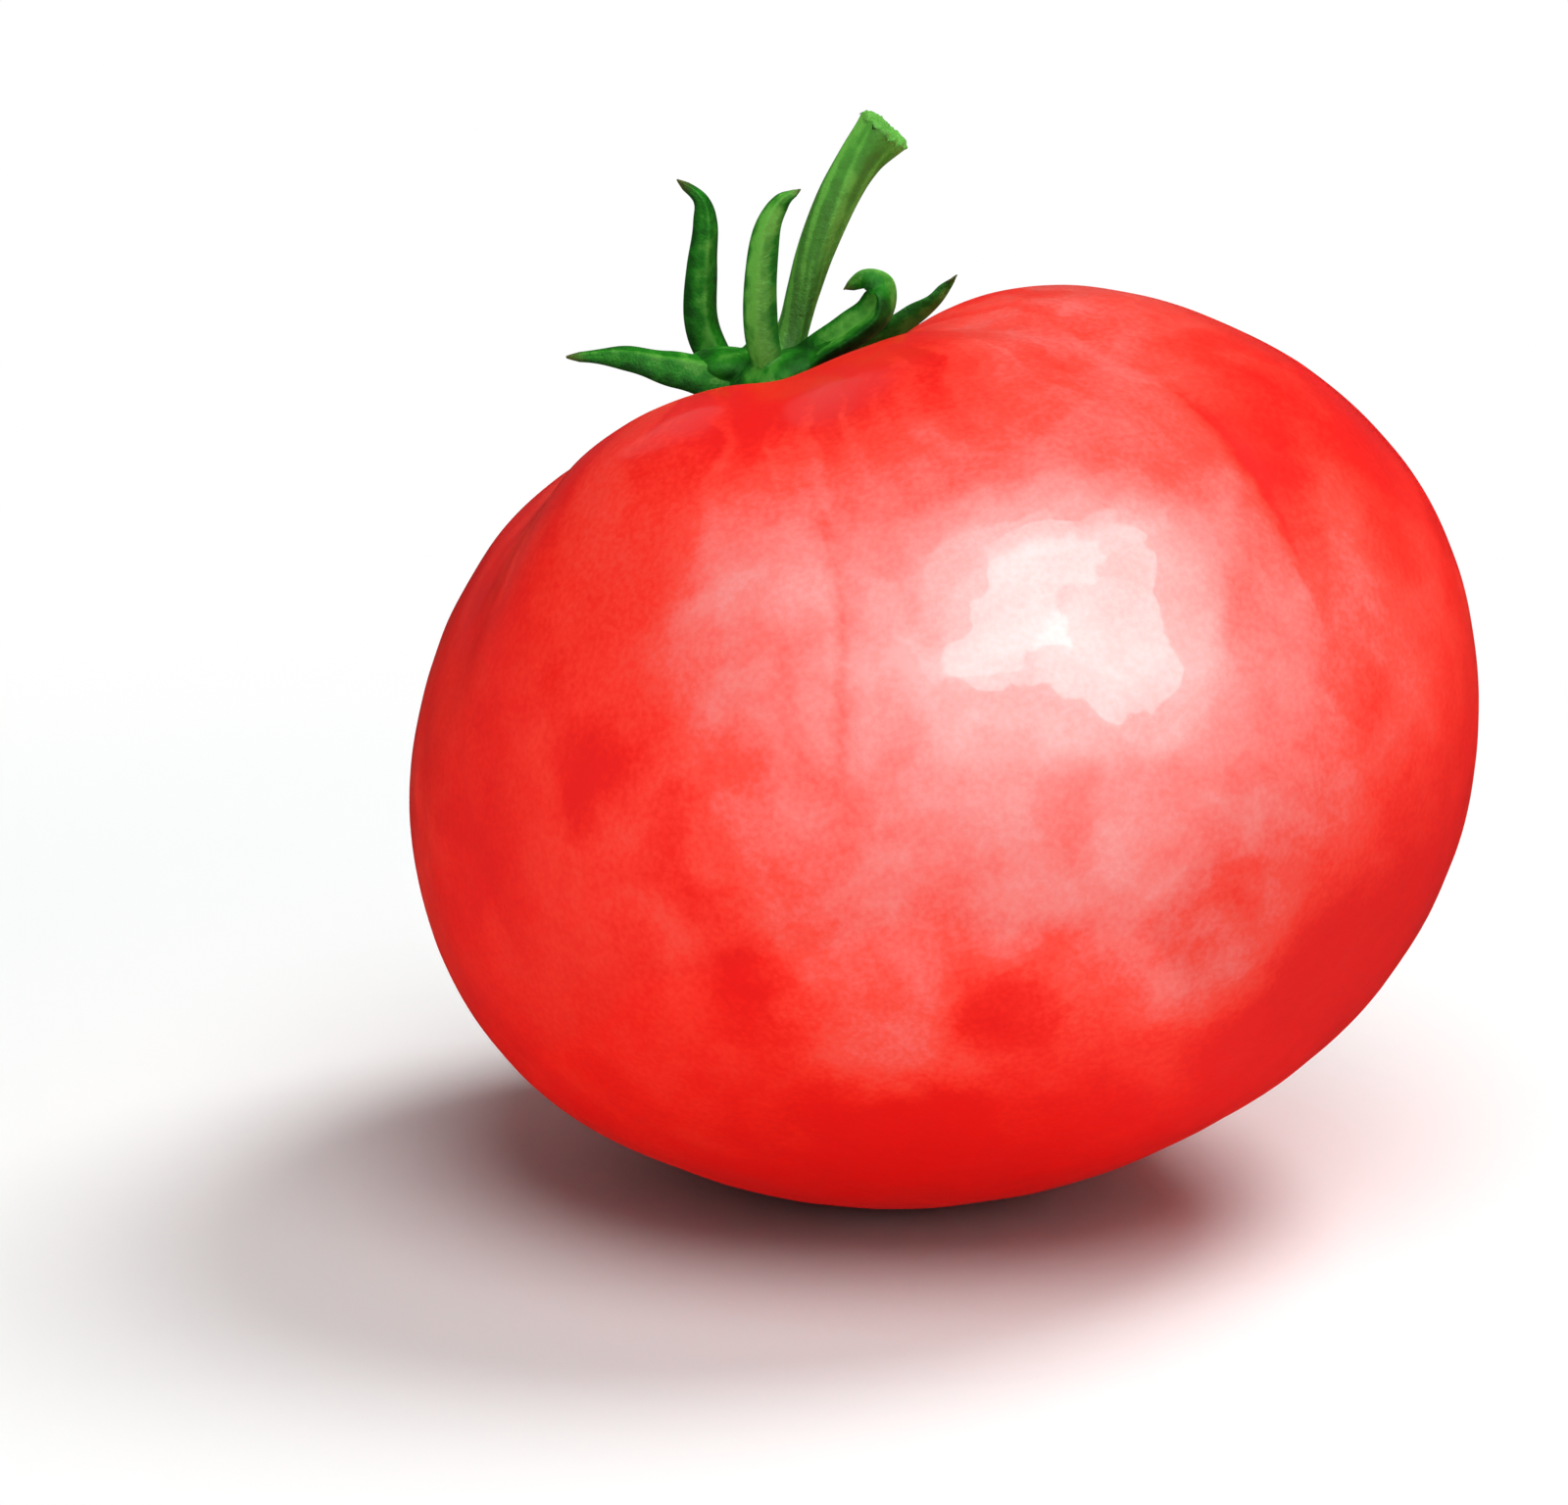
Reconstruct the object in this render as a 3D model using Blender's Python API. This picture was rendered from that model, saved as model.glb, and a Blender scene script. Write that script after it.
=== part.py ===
"""A ripe, lobed tomato with its green calyx and a short cut stem.

The fruit leans to the left and a little to the back, and rests on a small flat spot.
World frame: +Z up, +X right, -Y towards the viewer, origin on the resting surface
below the middle of the whole object.  Dimensions below are millimetres and degrees.
"""
from math import cos, exp, pi, radians, sin

import bmesh
import bpy
from mathutils import Matrix, Vector

MM = 0.001
CONTACT_GAP = 0.3               # clear space between pieces that touch
SHARP_EDGE = radians(50)        # edges sharper than this stay sharp when shaded smooth

# The fruit, in its own frame: local Z runs from the blossom end up to the stem end.
EQUATOR_RADIUS = 38.0
STEM_HALF_HEIGHT = 30.4         # centre to the stem end, before the basin is sunk
BLOSSOM_HALF_HEIGHT = 32.1
STEM_POWER = 0.88               # below 1 the shoulders are squarer than an ellipse
BLOSSOM_POWER = 1.03            # above 1 the blossom end is more pointed
BASIN_DEPTH = 5.5
BASIN_RADIUS = 10.0
FURROW_DEPTH = 1.1
FURROW_SHARPNESS = 55.0
LOBE_SOFTNESS = 7.0
BELLY_FURROW_SHARE = 0.35       # a furrow is this much shallower at the belly

# One row per lobe: its direction round the axis, how much its shoulder rises,
# and how much its belly and its lower half swell.
LOBES = [
    (289.0, -0.7, 0.0, 1.6),
    (342.0, 0.7, 0.8, 1.8),
    (36.0, 0.3, 0.5, -1.3),
    (87.0, 0.2, 0.2, -0.3),
    (136.0, -0.1, 0.0, 0.0),
    (186.0, 0.4, 0.0, -0.6),
    (237.0, 2.8, 0.1, -0.8),
]
FURROWS = [263.0, 315.0, 10.0, 62.0, 112.0, 160.0, 211.0]

# Polar angle where each effect is strongest, and how far it reaches either side.
SHOULDER_BAND = (38.0, 36.0)
BELLY_BAND = (88.0, 50.0)
LOWER_BAND = (138.0, 42.0)

# How the fruit stands.
LEAN_LEFT = 22.5
LEAN_BACK = 12.0
FRUIT_CENTRE = Vector((-0.2, -0.2, 31.6))   # this height leaves a flat spot 20 across on z = 0
FRUIT_SEGMENTS = 56
FRUIT_RINGS = 32
POLE_CROWDING = 0.45            # rings lie closer together at the two ends

# The calyx: a small rounded hub in the basin, five sepals and the stem.
CALYX_HEIGHT = 30.2             # hub top, along the fruit's axis
HUB_RADIUS = 4.2
HUB_FOOT_RADIUS = 2.8
HUB_DOME_RISE = 2.2
HUB_SEGMENTS = 32
HUB_DOME_RINGS = 5
STEM_SIDES = 14
SEPAL_SIDES = 10

# Every row below starts from the calyx centre.  A sepal has its middle line, its
# greatest width and thickness, how far along it is widest (0 root, 1 tip), and the
# direction across its blade.
SEPALS = {
    "sepal_left": (
        [(-1.2, -0.1, -2.3), (-3.0, -0.3, -1.9), (-5.3, -0.5, -1.2), (-7.7, -0.6, -0.7),
         (-10.9, -0.6, -0.1), (-14.6, -0.5, -0.3)],
        3.5, 1.4, 0.30, (0.0, 0.75, 0.66)),
    "sepal_standing_left": (
        [(-0.6, 1.5, -1.9), (-2.2, 2.9, -1.7), (-4.1, 3.5, -0.6), (-5.0, 3.6, 1.8), (-4.9, 3.6, 5.4),
         (-4.7, 3.6, 8.4), (-5.1, 3.6, 10.3), (-6.8, 3.6, 11.7)],
        2.7, 1.2, 0.34, (0.94, 0.34, 0.0)),
    "sepal_standing_right": (
        [(0.0, -1.7, -1.7), (-0.5, -2.9, -0.6), (-1.0, -3.2, 2.0), (-1.0, -3.2, 5.8), (-0.5, -3.2, 9.2),
         (0.5, -3.2, 11.1), (1.9, -3.2, 12.0)],
        2.8, 1.2, 0.34, (0.96, -0.28, 0.0)),
    "sepal_hooked": (
        [(1.6, -1.5, -1.4), (3.6, -2.6, 0.3), (5.7, -2.9, 1.7), (7.4, -2.9, 3.2), (7.6, -2.9, 5.1),
         (6.3, -2.9, 5.8), (4.9, -2.9, 4.9)],
        2.7, 1.4, 0.40, (-0.35, 0.85, 0.40)),
    "sepal_right": (
        [(1.9, 0.9, -1.6), (4.3, 1.9, -0.7), (8.3, 2.3, 1.0), (11.2, 2.3, 3.0), (13.0, 2.3, 5.1)],
        3.0, 1.3, 0.40, (0.0, 0.86, -0.50)),
}
SEPAL_RINGS = 15
SEPAL_ROOT_SHARE = 0.72         # width at the root, as a share of the greatest width
SEPAL_TIP_SHARE = 0.10
SEPAL_TAPER_POWER = 0.9         # below 1 the taper stays full for longer
SEPAL_CUP = 0.35                # the edges rise above the middle by this share of the thickness

STEM_LINE = [(0.3, 0.0, -0.8), (1.3, 0.0, 1.4), (2.1, 0.0, 4.4), (3.0, 0.0, 7.4), (4.5, 0.0, 11.0),
             (6.1, 0.0, 13.7), (8.1, 0.0, 16.1)]
STEM_RINGS = 16
STEM_FOOT_RADIUS = 1.35
STEM_NECK_RADIUS = 0.98
STEM_MIDDLE_RADIUS = 1.45
STEM_CUT_RADIUS = 1.95
STEM_FOOT_REACH = 0.12          # shares of the stem's length, from its foot
STEM_SWELL_END = 0.75
STEM_FLARE_START = 0.72

SKIN_RED = (0.76, 0.035, 0.018, 1.0)
HUB_GREEN = (0.035, 0.13, 0.016, 1.0)
SEPAL_GREEN = (0.045, 0.19, 0.022, 1.0)
STEM_GREEN = (0.085, 0.31, 0.045, 1.0)


def remove_old_objects():
    for old in list(bpy.data.objects):
        bpy.data.objects.remove(old, do_unlink=True)


def plain_material(name, colour, roughness):
    material = bpy.data.materials.new(name)
    material.use_nodes = True
    shader = material.node_tree.nodes["Principled BSDF"]
    shader.inputs["Base Color"].default_value = colour
    shader.inputs["Roughness"].default_value = roughness
    shader.inputs["Metallic"].default_value = 0.0
    return material


def new_empty(name, location):
    empty = bpy.data.objects.new(name, None)
    empty.empty_display_size = 10 * MM
    empty.location = location
    bpy.context.scene.collection.objects.link(empty)
    return empty


def mesh_object(name, rings, material, parent):
    """Skin rings of points into one closed body; a ring of one point closes an end."""
    builder = bmesh.new()
    loops = [[builder.verts.new(Vector(point) * MM) for point in ring] for ring in rings]
    for lower, upper in zip(loops, loops[1:]):
        count = max(len(lower), len(upper))
        for i in range(count):
            j = (i + 1) % count
            if len(lower) == 1:
                builder.faces.new((lower[0], upper[j], upper[i]))
            elif len(upper) == 1:
                builder.faces.new((lower[i], lower[j], upper[0]))
            else:
                builder.faces.new((lower[i], lower[j], upper[j], upper[i]))
    for end, outward in ((loops[0], False), (loops[-1], True)):
        if len(end) > 2:
            builder.faces.new(end if outward else list(reversed(end)))
    bmesh.ops.recalc_face_normals(builder, faces=builder.faces)
    mesh = bpy.data.meshes.new(name)
    builder.to_mesh(mesh)
    builder.free()
    mesh.shade_smooth()
    mesh.set_sharp_from_angle(angle=SHARP_EDGE)
    if material is not None:
        mesh.materials.append(material)
    item = bpy.data.objects.new(name, mesh)
    item.parent = parent
    bpy.context.scene.collection.objects.link(item)
    return item


def cut_away(item, cutter):
    cutter.hide_render = True
    cutter.display_type = "WIRE"
    boolean = item.modifiers.new("clearance", "BOOLEAN")
    boolean.operation = "DIFFERENCE"
    boolean.solver = "EXACT"
    boolean.object = cutter


def band_weight(polar, band):
    """1 at the band's middle, falling smoothly to 0 at its reach."""
    middle, reach = radians(band[0]), radians(band[1])
    offset = max(-1.0, min(1.0, (polar - middle) / reach))
    return cos(pi / 2 * offset) ** 2


def lobe_values(azimuth):
    """Blend the lobes' shoulder, belly and lower values at one direction."""
    total = 0.0
    blended = [0.0, 0.0, 0.0]
    for direction, *values in LOBES:
        weight = exp(LOBE_SOFTNESS * (cos(azimuth - radians(direction)) - 1))
        total += weight
        for k, value in enumerate(values):
            blended[k] += weight * value
    return [value / total for value in blended]


def furrow_depth(azimuth):
    pull = sum(exp(FURROW_SHARPNESS * (cos(azimuth - radians(f)) - 1)) for f in FURROWS)
    return FURROW_DEPTH * pull


def fruit_point(polar, azimuth):
    """A point of the skin; polar 0 is the stem end and 180 degrees the blossom end."""
    stem_side = polar < pi / 2
    power = STEM_POWER if stem_side else BLOSSOM_POWER
    half_height = STEM_HALF_HEIGHT if stem_side else BLOSSOM_HALF_HEIGHT
    shoulder, belly, lower = lobe_values(azimuth)
    furrow = furrow_depth(azimuth)
    at_shoulder = band_weight(polar, SHOULDER_BAND)
    at_belly = band_weight(polar, BELLY_BAND)
    swell = at_belly * (belly - BELLY_FURROW_SHARE * furrow) + band_weight(polar, LOWER_BAND) * lower
    radius = EQUATOR_RADIUS * max(0.0, sin(polar)) ** power + swell * sin(polar)
    height = half_height * cos(polar) + swell * cos(polar) + at_shoulder * (shoulder - furrow)
    if stem_side:
        height -= BASIN_DEPTH * exp(-(radius / BASIN_RADIUS) ** 2)
    return (radius * cos(azimuth), radius * sin(azimuth), height)


def make_fruit(frame):
    rings = []
    for ring in range(FRUIT_RINGS + 1):
        along = ring / FRUIT_RINGS
        polar = pi * (along - POLE_CROWDING * sin(2 * pi * along) / (2 * pi))
        if ring in (0, FRUIT_RINGS):
            rings.append([fruit_point(polar, 0.0)])
            continue
        turns = [2 * pi * i / FRUIT_SEGMENTS for i in range(FRUIT_SEGMENTS)]
        rings.append([fruit_point(polar, turn) for turn in turns])
    fruit = mesh_object("fruit", rings, plain_material("skin", SKIN_RED, 0.28), frame)
    cut_away(fruit, resting_surface())
    return fruit


def resting_surface():
    """A block whose top is z = 0: what it takes off the fruit leaves the flat spot."""
    reach, depth = 60.0, 20.0
    corners = [(-reach, -reach), (reach, -reach), (reach, reach), (-reach, reach)]
    rings = [[(x, y, z) for x, y in corners] for z in (-depth, 0.0)]
    return mesh_object("resting_surface", rings, None, None)


def basin_height(radius):
    """Height of the basin's floor near its centre, along the fruit's axis."""
    polar = (radius / EQUATOR_RADIUS) ** (1 / STEM_POWER)
    return STEM_HALF_HEIGHT * cos(polar) - BASIN_DEPTH * exp(-(radius / BASIN_RADIUS) ** 2)


def turned_rings(profile):
    """Rings for (radius, height) pairs turned about the local Z axis."""
    rings = []
    for radius, height in profile:
        if radius == 0.0:
            rings.append([(0.0, 0.0, height)])
            continue
        turns = [2 * pi * i / HUB_SEGMENTS for i in range(HUB_SEGMENTS)]
        rings.append([(radius * cos(turn), radius * sin(turn), height) for turn in turns])
    return rings


def hub_profile(grow):
    """From the foot in the basin up over the rounded top, grown outwards by grow."""
    foot_height = basin_height(HUB_FOOT_RADIUS) + 2 * CONTACT_GAP
    waist_height = CALYX_HEIGHT - HUB_DOME_RISE
    profile = [(0.0, foot_height - grow), (HUB_FOOT_RADIUS + grow, foot_height - grow)]
    for step in range(HUB_DOME_RINGS + 1):
        turn = pi / 2 * step / HUB_DOME_RINGS
        radius = (HUB_RADIUS + grow) * cos(turn)
        height = waist_height + (CALYX_HEIGHT - waist_height + grow) * sin(turn)
        profile.append((0.0 if step == HUB_DOME_RINGS else radius, height))
    return profile


def smooth_line(points, count):
    """Evenly timed points on a Catmull-Rom curve through the given ones."""
    knots = [Vector(p) for p in points]
    knots = [2 * knots[0] - knots[1]] + knots + [2 * knots[-1] - knots[-2]]
    spans = len(knots) - 3
    line = []
    for i in range(count):
        place = spans * i / (count - 1)
        span = min(int(place), spans - 1)
        t = place - span
        a, b, c, d = knots[span:span + 4]
        line.append(0.5 * (2 * b + (c - a) * t + (2 * a - 5 * b + 4 * c - d) * t ** 2
                           + (3 * b - a - 3 * c + d) * t ** 3))
    return line


def line_frames(line, across):
    """For each point: the point, the direction across and the direction up from the blade."""
    frames = []
    last = len(line) - 1
    for i, point in enumerate(line):
        forward = (line[min(i + 1, last)] - line[max(i - 1, 0)]).normalized()
        side = Vector(across)
        side = (side - side.dot(forward) * forward).normalized()
        frames.append((point, side, forward.cross(side)))
    return frames


def sepal_share(along, widest):
    """Blade width along the sepal, as a share of its greatest width."""
    if along < widest:
        rise = sin(pi / 2 * along / widest)
        return SEPAL_ROOT_SHARE + (1 - SEPAL_ROOT_SHARE) * rise
    fall = (along - widest) / (1 - widest)
    return SEPAL_TIP_SHARE + (1 - SEPAL_TIP_SHARE) * cos(pi / 2 * fall) ** SEPAL_TAPER_POWER


def make_sepal(name, spec, frame, material, hub_clearance):
    points, width, thickness, widest, across = spec
    rings = []
    frames = line_frames(smooth_line(points, SEPAL_RINGS), across)
    for i, (point, side, up) in enumerate(frames):
        share = sepal_share(i / (SEPAL_RINGS - 1), widest)
        ring = []
        for k in range(SEPAL_SIDES):
            turn = 2 * pi * k / SEPAL_SIDES
            offset = side * (width / 2 * share * cos(turn))
            rise = thickness / 2 * share * (sin(turn) + SEPAL_CUP * cos(turn) ** 2)
            ring.append(point + offset + up * rise)
        rings.append(ring)
    sepal = mesh_object(name, rings, material, frame)
    cut_away(sepal, hub_clearance)
    return sepal


def stem_radius(along):
    """Swollen where it joins, thin just above, and flared at the cut end."""
    foot = (STEM_FOOT_RADIUS - STEM_NECK_RADIUS) * exp(-(along / STEM_FOOT_REACH) ** 2)
    swell = sin(pi / 2 * min(1.0, along / STEM_SWELL_END)) ** 2
    body = (STEM_MIDDLE_RADIUS - STEM_NECK_RADIUS) * swell
    opening = max(0.0, (along - STEM_FLARE_START) / (1 - STEM_FLARE_START))
    flare = (STEM_CUT_RADIUS - STEM_MIDDLE_RADIUS) * opening ** 2
    return STEM_NECK_RADIUS + foot + body + flare


def make_stem(frame, hub_clearance):
    rings = []
    for i, (point, side, up) in enumerate(line_frames(smooth_line(STEM_LINE, STEM_RINGS), (0, 1, 0))):
        radius = stem_radius(i / (STEM_RINGS - 1))
        turns = [2 * pi * k / STEM_SIDES for k in range(STEM_SIDES)]
        rings.append([point + radius * (side * cos(turn) + up * sin(turn)) for turn in turns])
    stem = mesh_object("stem", rings, plain_material("stem_green", STEM_GREEN, 0.55), frame)
    cut_away(stem, hub_clearance)
    return stem


def main():
    remove_old_objects()
    stance = Matrix.Rotation(radians(-LEAN_BACK), 3, "X") @ Matrix.Rotation(radians(-LEAN_LEFT), 3, "Y")
    fruit_frame = new_empty("fruit_frame", FRUIT_CENTRE * MM)
    fruit_frame.rotation_euler = stance.to_euler()
    calyx_centre = FRUIT_CENTRE + stance @ Vector((0.0, 0.0, CALYX_HEIGHT))
    calyx_frame = new_empty("calyx_frame", calyx_centre * MM)

    make_fruit(fruit_frame)
    hub_material = plain_material("hub_green", HUB_GREEN, 0.6)
    mesh_object("calyx_hub", turned_rings(hub_profile(0.0)), hub_material, fruit_frame)
    hub_clearance = mesh_object("hub_clearance", turned_rings(hub_profile(CONTACT_GAP)), None, fruit_frame)
    sepal_material = plain_material("calyx_green", SEPAL_GREEN, 0.55)
    for name, spec in SEPALS.items():
        make_sepal(name, spec, calyx_frame, sepal_material, hub_clearance)
    make_stem(calyx_frame, hub_clearance)


main()
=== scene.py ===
# %% [markdown]
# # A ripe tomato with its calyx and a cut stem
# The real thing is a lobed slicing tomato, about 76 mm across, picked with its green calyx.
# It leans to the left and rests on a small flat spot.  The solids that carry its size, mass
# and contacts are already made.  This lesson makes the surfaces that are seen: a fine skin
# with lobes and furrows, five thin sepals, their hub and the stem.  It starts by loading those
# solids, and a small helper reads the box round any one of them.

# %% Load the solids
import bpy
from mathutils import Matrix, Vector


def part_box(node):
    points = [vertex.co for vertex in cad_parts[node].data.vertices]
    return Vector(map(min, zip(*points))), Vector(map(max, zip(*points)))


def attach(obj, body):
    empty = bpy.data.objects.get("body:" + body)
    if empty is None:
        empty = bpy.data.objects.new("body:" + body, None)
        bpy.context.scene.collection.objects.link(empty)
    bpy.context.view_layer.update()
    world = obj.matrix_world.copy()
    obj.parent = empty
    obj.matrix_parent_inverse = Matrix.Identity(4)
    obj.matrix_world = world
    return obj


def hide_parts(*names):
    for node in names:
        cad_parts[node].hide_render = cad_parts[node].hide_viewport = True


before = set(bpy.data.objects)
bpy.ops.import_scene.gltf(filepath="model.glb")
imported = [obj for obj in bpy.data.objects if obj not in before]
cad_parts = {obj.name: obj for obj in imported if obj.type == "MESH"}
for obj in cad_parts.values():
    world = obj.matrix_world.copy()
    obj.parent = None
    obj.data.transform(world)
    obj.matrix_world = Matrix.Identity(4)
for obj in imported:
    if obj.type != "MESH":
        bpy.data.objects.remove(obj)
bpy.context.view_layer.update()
print("solids:", sorted(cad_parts))

# %% [markdown]
# ## Units, and how the fruit stands
# Every length below is in millimetres, and is turned into metres only when a mesh is made.
# The fruit is easiest to describe in its own frame, with local Z from the blossom end up to the
# stem end.  One matrix then leans it, first to the left and then back, as the solid leans.

# %% Units and stance
import math

import bmesh
import bpy
import numpy as np
from mathutils import Matrix, Vector, noise
from mathutils.bvhtree import BVHTree

MM = 0.001
LEAN_LEFT = math.radians(22.5)
LEAN_BACK = math.radians(12.0)
FRUIT_CENTRE = Vector((-0.2, -0.2, 31.6))
STANCE = Matrix.Rotation(-LEAN_BACK, 3, "X") @ Matrix.Rotation(-LEAN_LEFT, 3, "Y")
STANCE_ROWS = np.array(STANCE)
low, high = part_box("fruit")
print("fruit solid:", [round(c / MM, 1) for c in high - low], "mm, centre at", tuple(FRUIT_CENTRE))

# %% [markdown]
# ## The camera
# The view is almost level, from a little above, so that the near shoulder of the fruit hides
# the bottom of the basin.  A long lens keeps the outline close to a plain side view.  The
# camera is slid sideways instead of being turned, so the fruit sits right of the middle
# and its stem has room above it.

# %% Camera
CAMERA_RISE = math.radians(14.0)
CAMERA_DISTANCE = 400.0
CAMERA_LENS = 129.9
CAMERA_SLIDE = (-10.8, -0.4)          # sideways and up, in the view's plane

forward = Vector((0.0, math.cos(CAMERA_RISE), -math.sin(CAMERA_RISE)))
view_up = Vector((0.0, math.sin(CAMERA_RISE), math.cos(CAMERA_RISE)))
camera_data = bpy.data.cameras.new("camera")
camera_data.lens = CAMERA_LENS
camera_data.clip_start = 0.01
camera_data.clip_end = 40.0
camera = bpy.data.objects.new("camera", camera_data)
aim = FRUIT_CENTRE + Vector((CAMERA_SLIDE[0], 0, 0)) + view_up * CAMERA_SLIDE[1]
camera.location = (aim - forward * CAMERA_DISTANCE) * MM
camera.rotation_euler = forward.to_track_quat("-Z", "Y").to_euler()
bpy.context.scene.collection.objects.link(camera)
bpy.context.scene.camera = camera
print("camera at", [round(c, 3) for c in camera.location], "m, lens", CAMERA_LENS, "mm")

# %% [markdown]
# ## Small helpers for meshes
# All the pieces here are tubes of some kind: rings of points, one after another, each joined to
# the next.  A fruit, a leaf and a stem differ only in how their rings are worked out, so one
# helper skins any list of rings and closes both ends on a middle point.  Values that a material
# needs later, such as how far along a leaf a point lies, are stored on the points by name.

# %% Mesh helpers
def ring_mesh(name, rings, start, end, values=None):
    """Join rings (count, sides, 3) in millimetres into one closed mesh in metres."""
    count, sides, _ = rings.shape
    points = np.vstack([rings.reshape(-1, 3), start, end]) * MM
    first, last = count * sides, count * sides + 1
    around = [(k, (k + 1) % sides) for k in range(sides)]
    faces = [(i * sides + k, i * sides + n, (i + 1) * sides + n, (i + 1) * sides + k)
             for i in range(count - 1) for k, n in around]
    faces += [(first, n, k) for k, n in around]
    top = (count - 1) * sides
    faces += [(last, top + k, top + n) for k, n in around]
    mesh = bpy.data.meshes.new(name)
    mesh.from_pydata(points.tolist(), [], faces)
    for key, grid in (values or {}).items():
        flat = np.append(grid.reshape(-1), [grid[0].mean(), grid[-1].mean()])
        mesh.attributes.new(key, "FLOAT", "POINT").data.foreach_set("value", flat)
    face_outwards(mesh)
    return mesh


def face_outwards(mesh):
    shape = bmesh.new()
    shape.from_mesh(mesh)
    bmesh.ops.recalc_face_normals(shape, faces=shape.faces)
    if shape.calc_volume(signed=True) < 0:
        bmesh.ops.reverse_faces(shape, faces=shape.faces)
    shape.to_mesh(mesh)
    shape.free()
    mesh.shade_smooth()


def add_piece(name, mesh, node, slot, place=Matrix.Identity(4)):
    """Show a mesh in the place of one solid, riding on the object's only body."""
    piece = bpy.data.objects.new(name, mesh)
    piece.matrix_world = place
    bpy.context.scene.collection.objects.link(piece)
    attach(piece, "root")
    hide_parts(node)
    print(f"{name}: {len(mesh.vertices)} points, stands for {node}")
    return piece


print("mesh helpers:", [f.__name__ for f in (ring_mesh, face_outwards, add_piece)])

# %% [markdown]
# ## The fruit's main shape
# A tomato is a flattened ball.  Its half height differs at the two ends, and a power makes the
# shoulders squarer than an ellipse.  It has seven lobes, one over each seed chamber, with
# furrows between them that are deep at the shoulders and almost gone at the belly.  The lobes
# differ, which gives the fruit its uneven outline, so each has its own row: direction, rise of
# the shoulder, swell of the belly and swell of the lower half.  A formula is used here
# and not sculpting, because it is the solid's own formula, so the two agree.

# %% Fruit shape: lobes and furrows
EQUATOR_RADIUS = 38.0
STEM_HALF_HEIGHT = 30.4
BLOSSOM_HALF_HEIGHT = 32.1
STEM_POWER = 0.88
BLOSSOM_POWER = 1.03
BASIN_DEPTH = 5.5
BASIN_RADIUS = 10.0
FURROW_DEPTH = 1.1
FURROW_SHARPNESS = 55.0
LOBE_SOFTNESS = 7.0
BELLY_FURROW_SHARE = 0.35
# Where these numbers come from: the swells in LOBES, the two half heights, the two powers, the
# furrow depth and the lean are results of least-squares fitting programs, rounded, and some of
# the swells were then changed.  A program also gave the first two furrow directions.
LOBES = [                             # direction, shoulder, belly and lower half
    (289.0, -0.7, 0.0, 1.6),
    (342.0, 0.7, 0.8, 1.8),
    (36.0, 0.3, 0.5, -1.3),
    (87.0, 0.2, 0.2, -0.3),
    (136.0, -0.1, 0.0, 0.0),
    (186.0, 0.4, 0.0, -0.6),
    (237.0, 2.8, 0.1, -0.8),
]
FURROWS = [263.0, 315.0, 10.0, 62.0, 112.0, 160.0, 211.0]
FURROW_BENDS = [5.0, 2.0, -2.0, 1.5, -1.0, 2.0, -2.0]   # how far each wanders, in degrees
BEND_PLACE, BEND_REACH = 76.0, 15.0   # polar angle where it wanders across, and over how much
SHOULDER_BAND = (38.0, 36.0)          # polar angle of the middle, and reach each way
BELLY_BAND = (88.0, 50.0)
LOWER_BAND = (138.0, 42.0)


def band_weight(polar, band):
    """1 at the middle of a band round the fruit, fading to 0 at its reach."""
    middle, reach = np.radians(band[0]), np.radians(band[1])
    return np.cos(np.pi / 2 * np.clip((polar - middle) / reach, -1, 1)) ** 2


def lobe_values(azimuth):
    """Shoulder, belly and lower values, blended between neighbouring lobes."""
    table = np.array(LOBES)
    turn = azimuth[..., None] - np.radians(table[:, 0])
    weight = np.exp(LOBE_SOFTNESS * (np.cos(turn) - 1))
    weight /= weight.sum(-1, keepdims=True)
    return [(weight * table[:, k]).sum(-1) for k in (1, 2, 3)]


def turn_from_furrows(polar, azimuth):
    """Angle round the axis to each furrow, which wanders a little from its meridian."""
    above_bend = np.radians(BEND_PLACE) - polar[..., None]
    bend = np.radians(FURROW_BENDS) * np.tanh(above_bend / np.radians(BEND_REACH))
    return azimuth[..., None] - np.radians(FURROWS) - bend


def furrow_pull(polar, azimuth, sharpness, shares=1.0):
    """Nearness to a furrow, from 0 to 1."""
    turn = turn_from_furrows(polar, azimuth)
    return (np.exp(sharpness * (np.cos(turn) - 1)) * shares).sum(-1)


def fruit_form(polar, azimuth):
    """Radius from the axis and height along it, for arrays of angles."""
    stem_side = polar < np.pi / 2
    power = np.where(stem_side, STEM_POWER, BLOSSOM_POWER)
    half_height = np.where(stem_side, STEM_HALF_HEIGHT, BLOSSOM_HALF_HEIGHT)
    shoulder, belly, lower = lobe_values(azimuth)
    furrow = FURROW_DEPTH * furrow_pull(polar, azimuth, FURROW_SHARPNESS)
    swell = band_weight(polar, BELLY_BAND) * (belly - BELLY_FURROW_SHARE * furrow)
    swell = swell + band_weight(polar, LOWER_BAND) * lower
    radius = EQUATOR_RADIUS * np.maximum(0.0, np.sin(polar)) ** power + swell * np.sin(polar)
    height = (half_height + swell) * np.cos(polar)
    height = height + band_weight(polar, SHOULDER_BAND) * (shoulder - furrow)
    height = height - np.where(stem_side, BASIN_DEPTH * np.exp(-(radius / BASIN_RADIUS) ** 2), 0)
    return radius, height


print("rim of the basin, mm:", round(float(fruit_form(np.array(np.radians(20.0)), np.array(0.0))[1]), 2))

# %% [markdown]
# ## The fruit's fine shape
# Close to the calyx the real skin is drawn into small pleats.  Each furrow also has a fine
# crease in its bottom, and the blossom end has a small dimple with a nub, where the flower fell
# off.  The skin between is never quite even: it has soft dents a few millimetres wide, which
# break up the edge of a highlight.  They are made as real geometry, because a highlight's
# outline follows the true surface.  Each of these is a height added along the skin.

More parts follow.
